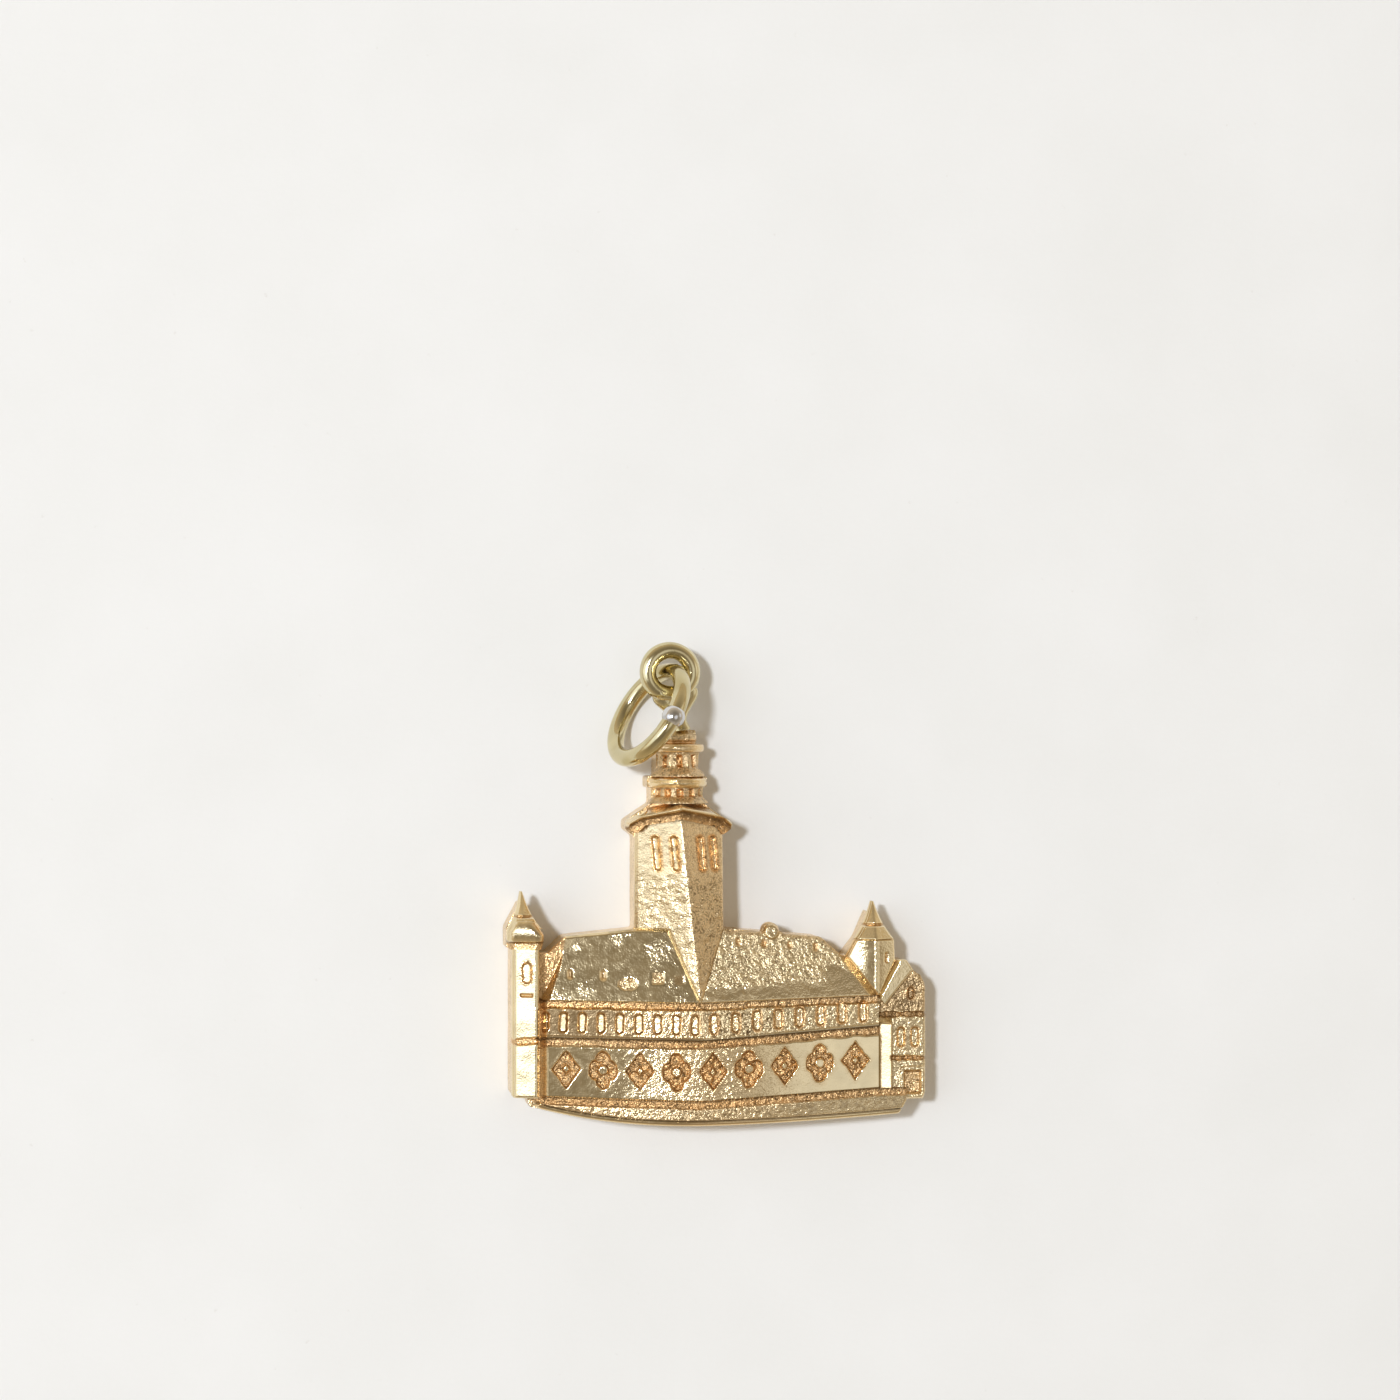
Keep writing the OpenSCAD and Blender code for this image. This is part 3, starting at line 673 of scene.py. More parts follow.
def build_right_roof():
    """Right roof: a granular slope, four dimples along its ridge and a knob on it."""
    bottom = [eave[1], turret_foot]
    right = [turret_foot, waist_l]
    knob_x = ridge_r[0] - 2.55
    crest_line = np.array([[tower_r, ridge_y + 0.05], [tower_r + 0.35, ridge_y - 0.15],
                           [knob_x - 0.45, ridge_y - 0.15]])
    arc = np.linspace(np.pi, 0, 9)
    bump = np.c_[knob_x + 0.42 * np.cos(arc), ridge_y - 0.1 + 0.42 * np.sin(arc)]
    top = np.vstack([crest_line, bump, [[knob_x + 0.75, ridge_y - 0.28], [ridge_r[0], ridge_r[1]],
                                        valley_r, waist_l]])
    left = [eave[1], [tower_r, ridge_y]]
    x, y = patch(bottom, right, top, left)
    up = y - level(eave, x)
    drop_in = ease(0, 0.25, away(x, y, top))
    marks = [slot(x, y, tower_r + 0.75 + i * 1.32, ridge_y - 0.62 - 0.1 * i, 0.34, 0.5)
             for i in range(4)]
    scoop = fade(-0.17, 0.03, np.minimum.reduce(marks))
    knob = fade(0.28, 0.44, np.hypot(x - knob_x, y - ridge_y + 0.12))
    speck = ease(-0.35, 0.3, grain(x, y, 1.2, 3) + 1.1 - 0.16 * (x - fold_x) - 0.9 * (0.8 - up))
    rough = np.clip(0.22 + 0.55 * speck * ease(0.5, 0.9, up) - 0.3 * knob, 0, 1)
    z = roof_z(x, y) - 0.10 * scoop + 0.18 * knob
    z += skin(x, y, rough) + 0.022 * speck * grain(x, y, 0.24, 5)
    z += 0.0015 * np.sin((x + 0.6 * y) * 32) * band(3.5, 7.2, x - fold_x, 0.4) * band(0.9, 2.2, up, 0.2)
    z -= rounded(up, 0.08) + bevel(x, y, top, 0.13) + 0.5 * bevel(x, y, left, 0.12)
    z -= 0.35 * fade(0, 0.4, away(x, y, [turret_foot, waist_l]))
    edge = fade(0.0, 0.12, away(x, y, [turret_foot, waist_l]))
    tint = 0.75 * scoop + 0.25 * (1 - drop_in) + 0.5 * edge
    # Painted shade in a dark line along the tower's side and a fainter one along the turret's foot
    dark = 0.6 * fade(0, 0.05, away(x, y, left)) + 0.2 * edge
    cast("right_roof", "cast_gold", x, y, z, tint, rough, dark)


# ---------------------------------------------------------------- the tower and its lantern

def arris_x(y):
    """X of the tower's leaning front edge at any height."""
    return fold_x + (arris_top[0] - fold_x) * (y - eave[1][1]) / (arris_top[1] - eave[1][1])


def tower_z(x, y, slope_l=0.6, slope_r=0.52):
    """Two slopes that fall away from the leaning edge, which is a little rounded."""
    d = x - arris_x(y)
    return arris_z - np.where(d < 0, slope_l, slope_r) * crease(d, 0.07)


def build_shaft():
    """Tower shaft: a hammered left face and a granular right one, with two lancets in each."""
    bottom = [eave[1] + [-0.05, 0.02], eave[1] + [0.05, 0.02]]
    left = [bottom[0], foot_l, [tower_l, ridge_y], [tower_l, tower_y + 0.2]]
    right = [bottom[1], [tower_r, ridge_y], [tower_r, tower_y - 0.1]]
    top = [left[-1], [arris_top[0], tower_y + 0.4], right[-1]]
    x, y = patch(bottom, right, top, left)
    d = x - arris_x(y)
    right_face = ease(-0.05, 0.05, d)
    width = tower_r - tower_l
    wide, tall, middle = 0.34, 1.75, tower_y - 1.3
    lancets = [slot(x, y, tower_l + share * width + 0.1 * (y - tower_y + 1.3) * -1,
                    middle, wide, tall) for share in (0.22, 0.42, 0.73, 0.88)]
    rim = np.minimum.reduce(lancets) + 0.02 * grain(x, y, 0.2, 1)
    sunk = fade(-0.10, 0.02, rim)
    lip = band(-0.04, 0.10, rim, 0.05)
    low_part = fade(-0.6, 0.4, y - (tower_y - 2.4))
    rough = np.clip(0.22 + 0.30 * right_face + 0.3 * low_part + 0.4 * lip, 0, 1)
    hammer = 0.020 * grain(x, y, 0.42, 2) + 0.012 * grain(x, y, 0.21, 6)
    z = tower_z(x, y) - 0.17 * sunk + hammer * (0.5 + 0.7 * low_part) + skin(x, y, rough)
    z -= bevel(x, y, left, 0.10) + bevel(x, y, right, 0.12)
    foot = fade(0, 0.55, y - eave[1][1])
    tint = 0.8 * lip + 0.25 * right_face + 0.15 * sunk - 0.3 * foot
    # Painted shadow under the cornice: the shaft darkens towards its top
    dark = 0.5 * fade(0.0, 0.25, tower_y + 0.4 - y - 0.14 * np.abs(d))
    cast("tower_shaft", "cast_gold", x, y, z, tint, rough * (1 - 0.5 * foot), dark)


def build_cornice():
    """Cornice: a rosy hollow with painted shade under a thin polished edge, then a steep slope to the
    drum.
    """
    out = 0.45
    bottom = [[tower_l - out, tower_y - 0.12], [tower_l - 0.02, tower_y - 0.30],
              [tower_l + 0.35, tower_y + 0.10], [arris_top[0], tower_y + 0.36],
              [tower_r - 0.4, tower_y + 0.02], [tower_r + 0.02, tower_y - 0.38],
              [tower_r + out, tower_y - 0.12]]
    drum_r = drum_high[0] - lantern_x
    top = [[tower_l - out, tower_y + 0.34], [tower_l + 0.3, tower_y + 0.62],
           [lantern_x - drum_r - 0.35, drum_low[1] - 0.38], [lantern_x - drum_r, drum_low[1] + 0.02],
           [lantern_x + drum_r, drum_low[1] + 0.02],
           [lantern_x + drum_r + 0.42, drum_low[1] - 0.5], [tower_r + out, tower_y + 0.26]]
    x, y = patch(bottom, [bottom[-1], top[-1]], top, [bottom[0], top[0]], 0.036)
    d = x - arris_x(y)
    edge_y = np.interp(x, [tower_l - out, tower_l + 0.1, arris_top[0], tower_r, tower_r + out],
                       [tower_y + 0.18, tower_y + 0.52, tower_y + 0.93, tower_y + 0.5, tower_y + 0.1])
    over = y - edge_y
    brow = np.exp(-(over / 0.11) ** 2)
    under = fade(-0.22, -0.10, over)
    behind = ease(0.06, 0.32, over)
    z = tower_z(x, y, 0.36, 0.46) + 0.02 + 0.32 * brow - 0.08 * under - 1.15 * behind
    z = np.maximum(z, seam + 0.5)
    right_face = ease(-0.1, 0.4, d)
    rough = np.clip(0.9 * under + 0.7 * behind + 0.35 * right_face - 0.7 * brow, 0, 1)
    z += skin(x, y, rough) - bevel(x, y, [bottom[0], top[0]], 0.12)
    z -= bevel(x, y, [bottom[-1], top[-1]], 0.12)
    tint = 0.95 * under + 0.75 * behind - 0.8 * brow
    # Painted shade in the hollow under the brow, with specks on the right face, and a little behind the
    # brow
    bits = pit_shade(x, y, 0.25, 6) * right_face
    dark = ((0.75 + 0.25 * bits) * under * (1 - brow) * ease(-0.66, -0.2, over)
            + 0.15 * behind)
    cast("tower_cornice", "cast_gold", x, y, z, tint, rough, dark)


def eight_sided(radius, a, share=0.7):
    """Radius of an eight-sided stage with softened edges, at an angle."""
    edge = np.cos(np.pi / 8) / np.cos((a + np.pi / 8) % (np.pi / 4) - np.pi / 8)
    return radius * (1 - share + share * edge * 1.04)


def stage_windows(s, a, low, high, count=8):
    """1 inside the small sunk windows in the middle of each side of a drum."""
    turn = np.abs((a + np.pi / count) % (2 * np.pi / count) - np.pi / count)
    return fade(0.10, 0.17, turn) * band(low, high, s, 0.06)


def build_lantern():
    """Lantern: a drum, a gallery ring, a narrower drum with windows and a stepped cap."""
    lower_low, lower_high = corners("lantern_drum")
    ring_low, ring_high = corners("lantern_gallery")
    upper_low, upper_high = corners("lantern_upper")
    cap_l, cap_h = corners("lantern_cap")
    radius = lambda box: box[0] - lantern_x
    r_drum, r_ring = radius(lower_high), radius(ring_high)
    r_upper, r_cap = radius(upper_high), radius(cap_h)
    drum = half_turned(
        lower_low[1], lower_high[1],
        lambda s, a: eight_sided(r_drum, a) + 0.34 * fade(0, 0.55, s) - 0.08
        - 0.12 * stage_windows(s, a, 0.45, 0.9, 12) + 0.05 * grain(a * r_drum, s * 0.8, 0.32, 4),
        tint=lambda s, a: 0.3 + 0.7 * stage_windows(s, a, 0.4, 0.95, 12), rough=0.85,
        # dark: painted shade at the drum's foot and under the gallery, and darker blotches at random
        dark=lambda s, a: 0.25 * fade(0, 0.1, s) + 0.55 * ease(0.86, 1, s)
        + 0.18 * ease(0.1, 0.7, grain(a * r_drum, s * 0.8, 0.22, 7)))
    add_piece("lantern_drum", "cast_gold", drum)
    gallery = half_turned(
        ring_low[1], ring_high[1],
        lambda s, a: r_ring - 0.30 + 0.30 * np.sqrt(np.clip(1 - (2 * s - 0.9) ** 2, 0, 1))
        - 0.05 * band(0.48, 0.6, s, 0.05),
        tint=lambda s, a: 0.15 + 0.5 * ease(0.7, 0.95, s), rough=lambda s, a: 0.15 + 0.6 * ease(0.7, 1, s))
    add_piece("lantern_gallery", "polished_gold", gallery)
    upper = half_turned(
        upper_low[1], upper_high[1],
        lambda s, a: eight_sided(r_upper, a) + 0.38 * fade(0, 0.42, s) - 0.16 * stage_windows(
            s, a, 0.42, 0.85) + 0.06 * ease(0.85, 1, s) + 0.06 * grain(a * r_upper, s * 1.2, 0.34, 2),
        tint=lambda s, a: 0.3 + 0.7 * stage_windows(s, a, 0.35, 0.9), rough=0.85,
        # dark: painted shade under the cap, and darker blotches at random
        dark=lambda s, a: 0.5 * ease(0.9, 1, s)
        + 0.18 * ease(0.1, 0.7, grain(a * r_upper, s * 1.2, 0.22, 5)))
    add_piece("lantern_upper", "cast_gold", upper)
    rim_share = 0.36

    def cap_radius(s, a):
        """A rounded rim below, a hollow, and a shoulder that closes round the neck above."""
        rim = r_cap - 0.16 + 0.16 * np.sqrt(np.clip(1 - ((s - 0.19) / 0.19) ** 2, 0, 1))
        body = eight_sided(r_cap * 0.72, a, 0.5) - 0.10 * band(0.4, 0.5, s, 0.05)
        body = body - 0.45 * ease(0.72, 1.02, s)
        return np.where(s < rim_share, np.maximum(rim, body), body)

    # The cap's dark band is painted shade in the crease between its rim and its body.
    cap = half_turned(cap_l[1], cap_h[1], cap_radius, flat=0.98,
                      tint=lambda s, a: 0.2 + 0.5 * band(0.38, 0.6, s, 0.05), rough=lambda s, a:
                      0.25 + 0.5 * ease(0.4, 0.5, s), dark=lambda s, a: 0.35 * band(0.36, 0.44, s, 0.03))
    add_piece("lantern_cap", "cast_gold", cap)


# ---------------------------------------------------------------- the corner towers and the bay

def corner_z(x):
    """Face of the left corner tower, which turns a little to the left."""
    return corner_high[2] - CORNER_SLOPE * (corner_high[0] - x)


def build_left_tower():
    """Left corner tower: polished, with a window, a short ledge and a rosy groove."""
    lo, hi = corner_low, corner_high
    left = [[lo[0], lo[1]], [lo[0], hi[1]]]
    right = [[hi[0], lo[1]], [hi[0], hi[1]]]
    x, y = upright(left, right, FINEST)
    mid = (lo[0] + hi[0]) / 2
    window = slot(x, y, mid + 0.02, hi[1] - 1.15, 0.48, 1.08)
    ledge = pane(x, y, mid, hi[1] - 2.25, 0.58, 0.12)
    groove = np.abs(y - string_course[1][1] - 0.10 - 0.12 * (x - mid)) - 0.16
    groove = groove + 0.04 * grain(x, y, 0.25, 2)
    sunk = np.maximum(fade(-0.10, 0.03, window), fade(-0.05, 0.04, ledge))
    cut = fade(-0.06, 0.04, groove)
    rough = np.clip(0.05 + 0.7 * cut + 0.6 * band(-0.1, 0.08, window, 0.05), 0, 1)
    z = corner_z(x) - 0.13 * sunk - 0.16 * cut + skin(x, y, rough) + 0.012 * grain(x, y, 0.7, 3)
    z -= bevel(x, y, left, 0.14) + bevel(x, y, right, 0.22)
    z -= rounded(y - lo[1], 0.10)
    tint = (0.75 * cut + 0.6 * band(-0.1, 0.05, window, 0.05)
            + 0.5 * band(-0.05, 0.05, ledge, 0.03))
    # Painted shade round the ledge
    dark = 0.3 * band(-0.05, 0.02, ledge, 0.03)
    cast("left_tower", "polished_gold", x, y, z, tint, rough, dark)


def build_left_cap():
    """Cap of the left tower: a rosy hollow under a swelling block that hides the spire's foot."""
    lo, hi = cap_low, cap_high
    head = hi[1] + 0.42
    left = [[lo[0] + 0.1, lo[1]], [lo[0], lo[1] + 0.25], [lo[0] + 0.02, hi[1] - 0.1],
            [lo[0] + 0.25, head - 0.05]]
    right = [[hi[0] - 0.1, lo[1]], [hi[0] - 0.02, lo[1] + 0.3], [hi[0] - 0.03, hi[1] - 0.25],
             [hi[0] - 0.4, head - 0.1]]
    x, y = patch([left[0], right[0]], right, [left[-1], [(lo[0] + hi[0]) / 2, head], right[-1]], left,
                 0.03)
    s = (y - lo[1]) / (head - lo[1])
    hollow = fade(0.22, 0.30, s)
    swell = np.sqrt(np.clip(1 - ((s - 0.60) / 0.44) ** 2, 0, 1))
    rough = np.clip(0.08 + 0.6 * hollow, 0, 1)
    z = corner_z(x) - 0.08 + 0.36 * swell * (1 - hollow) - 0.04 * hollow + skin(x, y, rough)
    z -= bevel(x, y, left, 0.25) + bevel(x, y, right, 0.45)
    tint = np.maximum(0.7 * hollow, 0.6 * fade(0.0, 0.3, away(x, y, right)))
    # Painted shade in a dark line over the hollow, at the foot of the swelling
    dark = 0.7 * band(0.20, 0.28, s, 0.04)
    cast("left_tower_cap", "polished_gold", x, y, z, tint, rough, dark)


def spire(node, lo, hi, tip_x, z_foot, z_tip, ring_at, foot_in=0.0):
    """A two-faced spire with hollow flanks, over a rounded ring and a rosy line darkened by painted shade.
    """
    t = np.linspace(0, 1, 14)
    hollow = 0.24 * np.sin(np.pi * np.sqrt(t)) * np.sqrt(t)
    rise = lo[1] + (hi[1] - lo[1]) * t
    left = np.c_[lo[0] + foot_in + (tip_x - 0.05 - lo[0] - foot_in) * t + 0.8 * hollow, rise]
    right = np.c_[hi[0] - foot_in + (tip_x + 0.05 - hi[0] + foot_in) * t - hollow, rise]
    x, y = upright(left, right, FINEST)
    s = (y - lo[1]) / (hi[1] - lo[1])
    ring = band(0.0, ring_at, s, 0.02)
    line = band(ring_at + 0.01, ring_at + 0.07, s, 0.025)
    top = z_foot + (z_tip - z_foot) * s
    d = x - tip_x
    z = top - 0.62 * crease(d, 0.08) + 0.10 * ring - 0.10 * line
    rough = 0.10 + 0.5 * line
    z = np.maximum(z, seam + 0.08) + skin(x, y, rough)
    edges = bevel(x, y, left, 0.10) + bevel(x, y, right, 0.10)
    z -= np.minimum(edges, z - seam - 0.02)
    # The line above the ring is rosy and dark: painted shade in its groove
    cast(node, "polished_gold", x, y, z, 0.75 * line, rough, 0.4 * line)


def build_turret():
    """Right turret: a bowed left face, a fine raised edge and a plain right face."""
    foot = turret_foot
    left = [foot + [-0.03, 0.02], waist_l, [turret_l, turret_y]]
    right = [foot + [0.03, 0.02], waist_r, [turret_r, turret_y]]
    x, y = upright(left, right, FINE)
    d = x - foot[0] + 0.1
    window = slot(x, y, turret_r - 0.42, turret_y - 0.95, 0.26, 0.6)
    sunk = fade(-0.10, 0.02, window)
    rough = 0.08 + 0.4 * sunk
    drop = np.where(d < 0, 0.07 - 0.16 * d, 0.42) * crease(d, 0.16)
    z = turret_high[2] - 0.12 - drop - 0.10 * sunk + 0.035 * np.exp(-(d / 0.10) ** 2)
    z = np.maximum(z, seam + 0.2) + skin(x, y, rough)
    z -= bevel(x, y, left, 0.08) + bevel(x, y, right, 0.08)
    edge = fade(0.0, 0.10, away(x, y, left))
    # line: the top edge under the roof, painted rosy and dark as shade, and sunk a little
    line = fade(0.0, 0.10, turret_y - y)
    tint = 0.5 * sunk + 0.35 * edge + 0.6 * line
    cast("right_turret", "polished_gold", x, y, z - 0.08 * line, tint, rough, 0.5 * line)


def build_bay():
    """Gabled bay: a bright pilaster, two windows, two grooves, a door in a raised surround."""
    step_x = plinth_high[0]
    lo, hi = bay_low, bay_high
    inner = turret_foot + [0.4, -0.5]
    outer = np.array([hi[0] - 0.7, lo[1] + 6.5])
    shoulder_y = min(lo[1] + 5.7, waist_r[1] - 0.8)
    bottom = [[right_x, wall_foot[2][1]], [step_x, wall_foot[2][1]], [step_x, lo[1]],
              [hi[0] - 0.1, lo[1]]]
    right = [[hi[0] - 0.1, lo[1]], [hi[0], lo[1] + 0.4], [hi[0], shoulder_y]]
    top = [turret_foot, inner, outer, [hi[0] - 0.25, shoulder_y + 0.5], right[-1]]
    left = [bottom[0], turret_foot]
    x, y = patch(bottom, right, top, left, 0.036)
    mid = (right_x + hi[0]) / 2 + 0.35
    panes = np.minimum(slot(x, y, mid - 0.36, string_course[1][1] + 0.0, 0.38, 1.0),
                       slot(x, y, mid + 0.34, string_course[1][1] + 0.0, 0.40, 1.0))
    panes = np.minimum(panes, slot(x, y, mid + 0.15, shoulder_y - 0.4, 0.3, 0.6))
    door = pane(x, y, mid + 0.22, lo[1] + 0.85, 0.80, 1.1)
    upper, lower = shoulder_y - 1.45, string_course[1][1] - 1.05
    cuts = np.minimum(np.abs(y - upper) - 0.12, np.maximum(np.abs(y - lower) - 0.10, 8.7 - x))
    cuts = cuts + 0.04 * grain(x, y, 0.25, 3)
    sunk = fade(-0.08, 0.03, panes)
    hole = fade(-0.06, 0.04, door)
    frame_band = band(0.04, 0.24, door, 0.04) * ease(8.9, 9.0, x)
    cut = fade(-0.05, 0.04, cuts)
    strip = fade(0.66, 0.78, x - right_x) * fade(upper - 0.5, upper - 0.1, y)
    field = ease(upper + 0.1, upper + 0.25, y)
    z = hi[2] + 0.02 + strip * (0.12 + 0.42 * (x - right_x)) + 0.08 * frame_band
    z = z - 0.16 * sunk - 0.17 * hole - 0.15 * cut - 0.06 * field
    rough = np.clip(0.15 + 0.75 * field + 0.4 * (1 - strip) * (1 - field) + 0.7 * cut + 0.4 * hole, 0, 1)
    rough = rough * (1 - 0.9 * strip)
    z += skin(x, y, rough) - bevel(x, y, right, 0.18) - bevel(x, y, bottom[2:], 0.12)
    z -= bevel(x, y, top[2:], 0.14)
    tint = np.clip(0.8 * cut + 0.5 * band(-0.06, 0.08, panes, 0.04) + 0.5 * hole + 0.35 * field
                   + 0.5 * fade(0, 0.06, x - right_x), 0, 1) * (1 - 0.7 * strip) + 0.15 * strip
    # Painted shade: dark grooves, and soft dark blotches over the field and the face beside the pilaster,
    # which dim the bay
    dark = (0.45 * field * ease(-0.2, 0.4, grain(x, y, 0.3, 1)) + 0.45 * cut
            + 0.22 * (1 - strip) * ease(-0.3, 0.5, grain(x, y, 0.45, 6)))
    cast("gabled_bay", "cast_gold", x, y, z, tint, rough, dark)


def build_gable():
    """Gable roof: a smooth sloping strip, rosy where it meets the turret."""
    inner = turret_foot + [0.4, -0.5]
    outer = np.array([bay_high[0] - 0.7, bay_low[1] + 6.5])
    peak = np.array([gable_high[0] - 0.3, gable_high[1]])
    top = [turret_foot, waist_r, peak]
    x, y = patch([inner, outer], [outer, peak], top, [inner, turret_foot], FINE)
    gap = away(x, y, [turret_foot, waist_r])
    rough = 0.10 + 0.5 * fade(0.05, 0.2, gap)
    z = gable_high[2] + 0.06 - 0.28 * fade(0.02, 0.26, gap) + skin(x, y, rough)
    z -= bevel(x, y, [inner, outer, peak], 0.12)
    tint = 0.8 * fade(0.05, 0.2, gap)
    # Painted shade in a dark line where the gable meets the turret
    cast("gable_roof", "polished_gold", x, y, z, tint, rough, 0.3 * fade(0, 0.08, gap))


# ---------------------------------------------------------------- the back, the eye and the ring

def outline_of(node, z):
    """The outer loop of the solid's flat face at height z, taken from that face's free edges."""
    mesh = frame["nodes"][node].data
    co = np.round(points_of(node), 4)
    loops = np.array([p.vertices[:] for p in mesh.polygons])
    flat = loops[(np.abs(co[loops][:, :, 2] - z) < 1e-3).all(1)]
    step, edges = {}, set()
    for face in co[flat][:, :, :2].round(4).tolist():
        for a, b in zip(face, face[1:] + face[:1]):
            edges.add((tuple(a), tuple(b)))
    for a, b in edges:
        if (b, a) not in edges:
            step[a] = b
    start = min(step)
    loop = [start]
    while step[loop[-1]] != start:
        loop.append(step[loop[-1]])
    return np.array(loop)


def soft_corners(loop, radius, gap):
    """A closed outline with its corners cut to short arcs, and points every gap along it."""
    points = []
    for before, here, after in zip(np.roll(loop, 1, 0), loop, np.roll(loop, -1, 0)):
        a = min(radius, 0.4 * np.hypot(*(before - here)))
        b = min(radius, 0.4 * np.hypot(*(after - here)))
        p = here + a * (before - here) / np.hypot(*(before - here))
        q = here + b * (after - here) / np.hypot(*(after - here))
        t = np.linspace(0, 1, 6)[:, None]
        points.append((1 - t) ** 2 * p + 2 * t * (1 - t) * here + t * t * q)
    ring = np.vstack(points)
    closed = np.vstack([ring, ring[:1]])
    return along(closed, np.linspace(0, 1, int(length_of(closed) / gap), endpoint=False))


def cap_sheet(rim, facing, gap):
    """A flat end for a closed rim: its points and a square lattice inside it, in triangles.

    The lattice sinks by a few hundredths where a soft noise says, so the face looks cast."""
    low, high = rim[:, :2].min(0), rim[:, :2].max(0)
    gx, gy = np.meshgrid(*(np.arange(a + gap / 2, b, gap) for a, b in zip(low, high)), indexing="ij")
    lattice = np.c_[gx.ravel(), gy.ravel()]
    clear = away(lattice[:, 0], lattice[:, 1], np.vstack([rim[:, :2], rim[:1, :2]])) > 0.6 * gap
    flat = np.vstack([rim[:, :2], lattice[clear]])
    turn = np.arange(len(rim))
    net = delaunay_2d_cdt([Vector(p) for p in flat], [], [turn.tolist()], 1, 1e-5)
    flat = np.array([p[:] for p in net[0]])
    faces = np.array([f[:] for f in net[2]])[:, ::facing]
    x, y = flat.T
    inner = ease(0.1, 0.8, away(x, y, np.vstack([rim[:, :2], rim[:1, :2]])))
    sink = inner * (0.03 + 0.03 * grain(x, y, 2.3, 3) + 0.008 * grain(x, y, 0.5, 5))
    points = np.c_[x, y, rim[0, 2] - facing * sink]
    rough = 0.45 + 0.25 * grain(x, y, 1.1, 2)
    return points, faces, [], [0.2 + 0 * x, np.clip(rough, 0, 1), 0 * x]


def build_back():
    """Back shell: the outline's wall, rounded into a plain back and grooved just under the seam."""
    loop = outline_of("back_shell", 0.0)
    if np.sum(loop[:, 0] * np.roll(loop[:, 1], -1) - loop[:, 1] * np.roll(loop[:, 0], -1)) < 0:
        loop = loop[::-1]
    ring = soft_corners(loop, 0.12, 0.07)
    way = np.roll(ring, -1, 0) - np.roll(ring, 1, 0)
    out = np.c_[way[:, 1], -way[:, 0]] / np.hypot(*way.T)[:, None]
    turn = np.linspace(0, np.pi / 2, 7)
    radius = 0.12
    inset = np.r_[radius * (1 - np.sin(turn)), np.zeros(22), 0.02, 0.035, 0.02, 0.0]
    z = np.r_[radius * (1 - np.cos(turn)), np.linspace(0.2, seam - 0.10, 22),
              seam - 0.07, seam - 0.05, seam - 0.02, seam]
    run = np.cumsum(np.hypot(*way.T)) / 2
    s, h = np.meshgrid(run, z, indexing="ij")
    rough = 0.35 + 0.2 * grain(s, h, 0.8, 2)
    bulge = skin(s, h, rough, 1) * ease(0.0, 0.2, h) * fade(seam - 0.2, seam, h)
    x = ring[:, :1] + out[:, :1] * (bulge - inset)
    y = ring[:, 1:] + out[:, 1:] * (bulge - inset)
    points = np.stack([x, y, h], -1)
    count, levels = x.shape
    numbers = np.arange(count * levels).reshape(count, levels)
    ahead = np.roll(numbers, -1, 0)
    faces = np.stack([numbers[:, :-1], ahead[:, :-1], ahead[:, 1:], numbers[:, 1:]], -1).reshape(-1, 4)
    groove = band(seam - 0.09, seam - 0.01, h, 0.02)
    pits = ease(0.62, 0.8, grain(s, h, 0.35, 4)) * ease(0.3, 0.6, h)
    # The groove under the seam is painted dark as shade; the pits are darker specks at random
    marks = [np.clip(0.25 + 0.4 * groove, 0, 1).ravel(), np.clip(rough, 0, 1).ravel(),
             np.clip(0.5 * groove + 0.3 * pits, 0, 1).ravel()]
    part = (points.reshape(-1, 3), faces, [], marks)
    add_piece("back_shell", "cast_gold", part,
              cap_sheet(points[:, 0], -1, 0.24), cap_sheet(points[:, -1], 1, 2.0))


def build_eye():
    """Hanging eye: a wire loop, and a neck that widens to a web where the loop springs from it."""
    wire = (eye_high[2] - eye_low[2]) / 2
    outer = (eye_high[0] - eye_low[0]) / 2
    centre = np.array([(eye_high[0] + eye_low[0]) / 2, eye_high[1] - outer,
                       (eye_high[2] + eye_low[2]) / 2])
    mean = outer - wire
    t = np.linspace(0, 2 * np.pi, 220, endpoint=False)
    side = np.c_[np.cos(t), np.sin(t), 0 * t]
    up = np.tile([0.0, 0.0, 1.0], (len(t), 1))
    around = np.linspace(0, 2 * np.pi, AROUND, endpoint=False)
    join = np.exp(-((t - 1.5 * np.pi - 0.25) / 0.5) ** 2)[:, None]
    radius = wire * (1 + 0.02 * np.sin(3 * t + 1)[:, None]) * (1 + 0.06 * join)
    radius = radius + 0.006 * grain(t[:, None] * mean, around[None] * wire, 0.5, 1)
    loop = tube(centre + mean * side, side, up, np.minimum(radius, wire * 1.04), True,
                dark=0.0, rough=0.05, tint=0.15 * join)
    foot_y = corners("lantern_cap")[1][1]
    neck_x = lantern_x + 0.19
    s = np.linspace(0, 1, 50)
    start = np.array([neck_x, foot_y - 0.02, centre[2]])
    stop = centre + mean * np.array([np.sin(0.28), -np.cos(0.28), 0]) + [-0.05, 0.1, 0]
    path = start + (stop - start) * s[:, None]
    wide = 0.32 + 0.14 * fade(0, 0.25, s) + 0.84 * ease(0.22, 0.92, s)
    deep = 0.30 + 0.14 * fade(0, 0.25, s) + 0.06 * ease(0.30, 0.95, s)
    oval = 1 / np.hypot(np.cos(around)[None] / wide[:, None], np.sin(around)[None] / deep[:, None])
    flow = (stop - start) / np.linalg.norm(stop - start)
    side_n = np.tile(np.cross(flow, [0, 0, 1.0]), (len(s), 1))
    up_n = np.cross(side_n, flow)
    neck = tube(path, side_n, up_n, oval, False, rough=0.15,
                tint=0.3 * fade(0, 0.4, s)[:, None])
    add_piece("hanging_eye", "pale_gold", loop, neck)


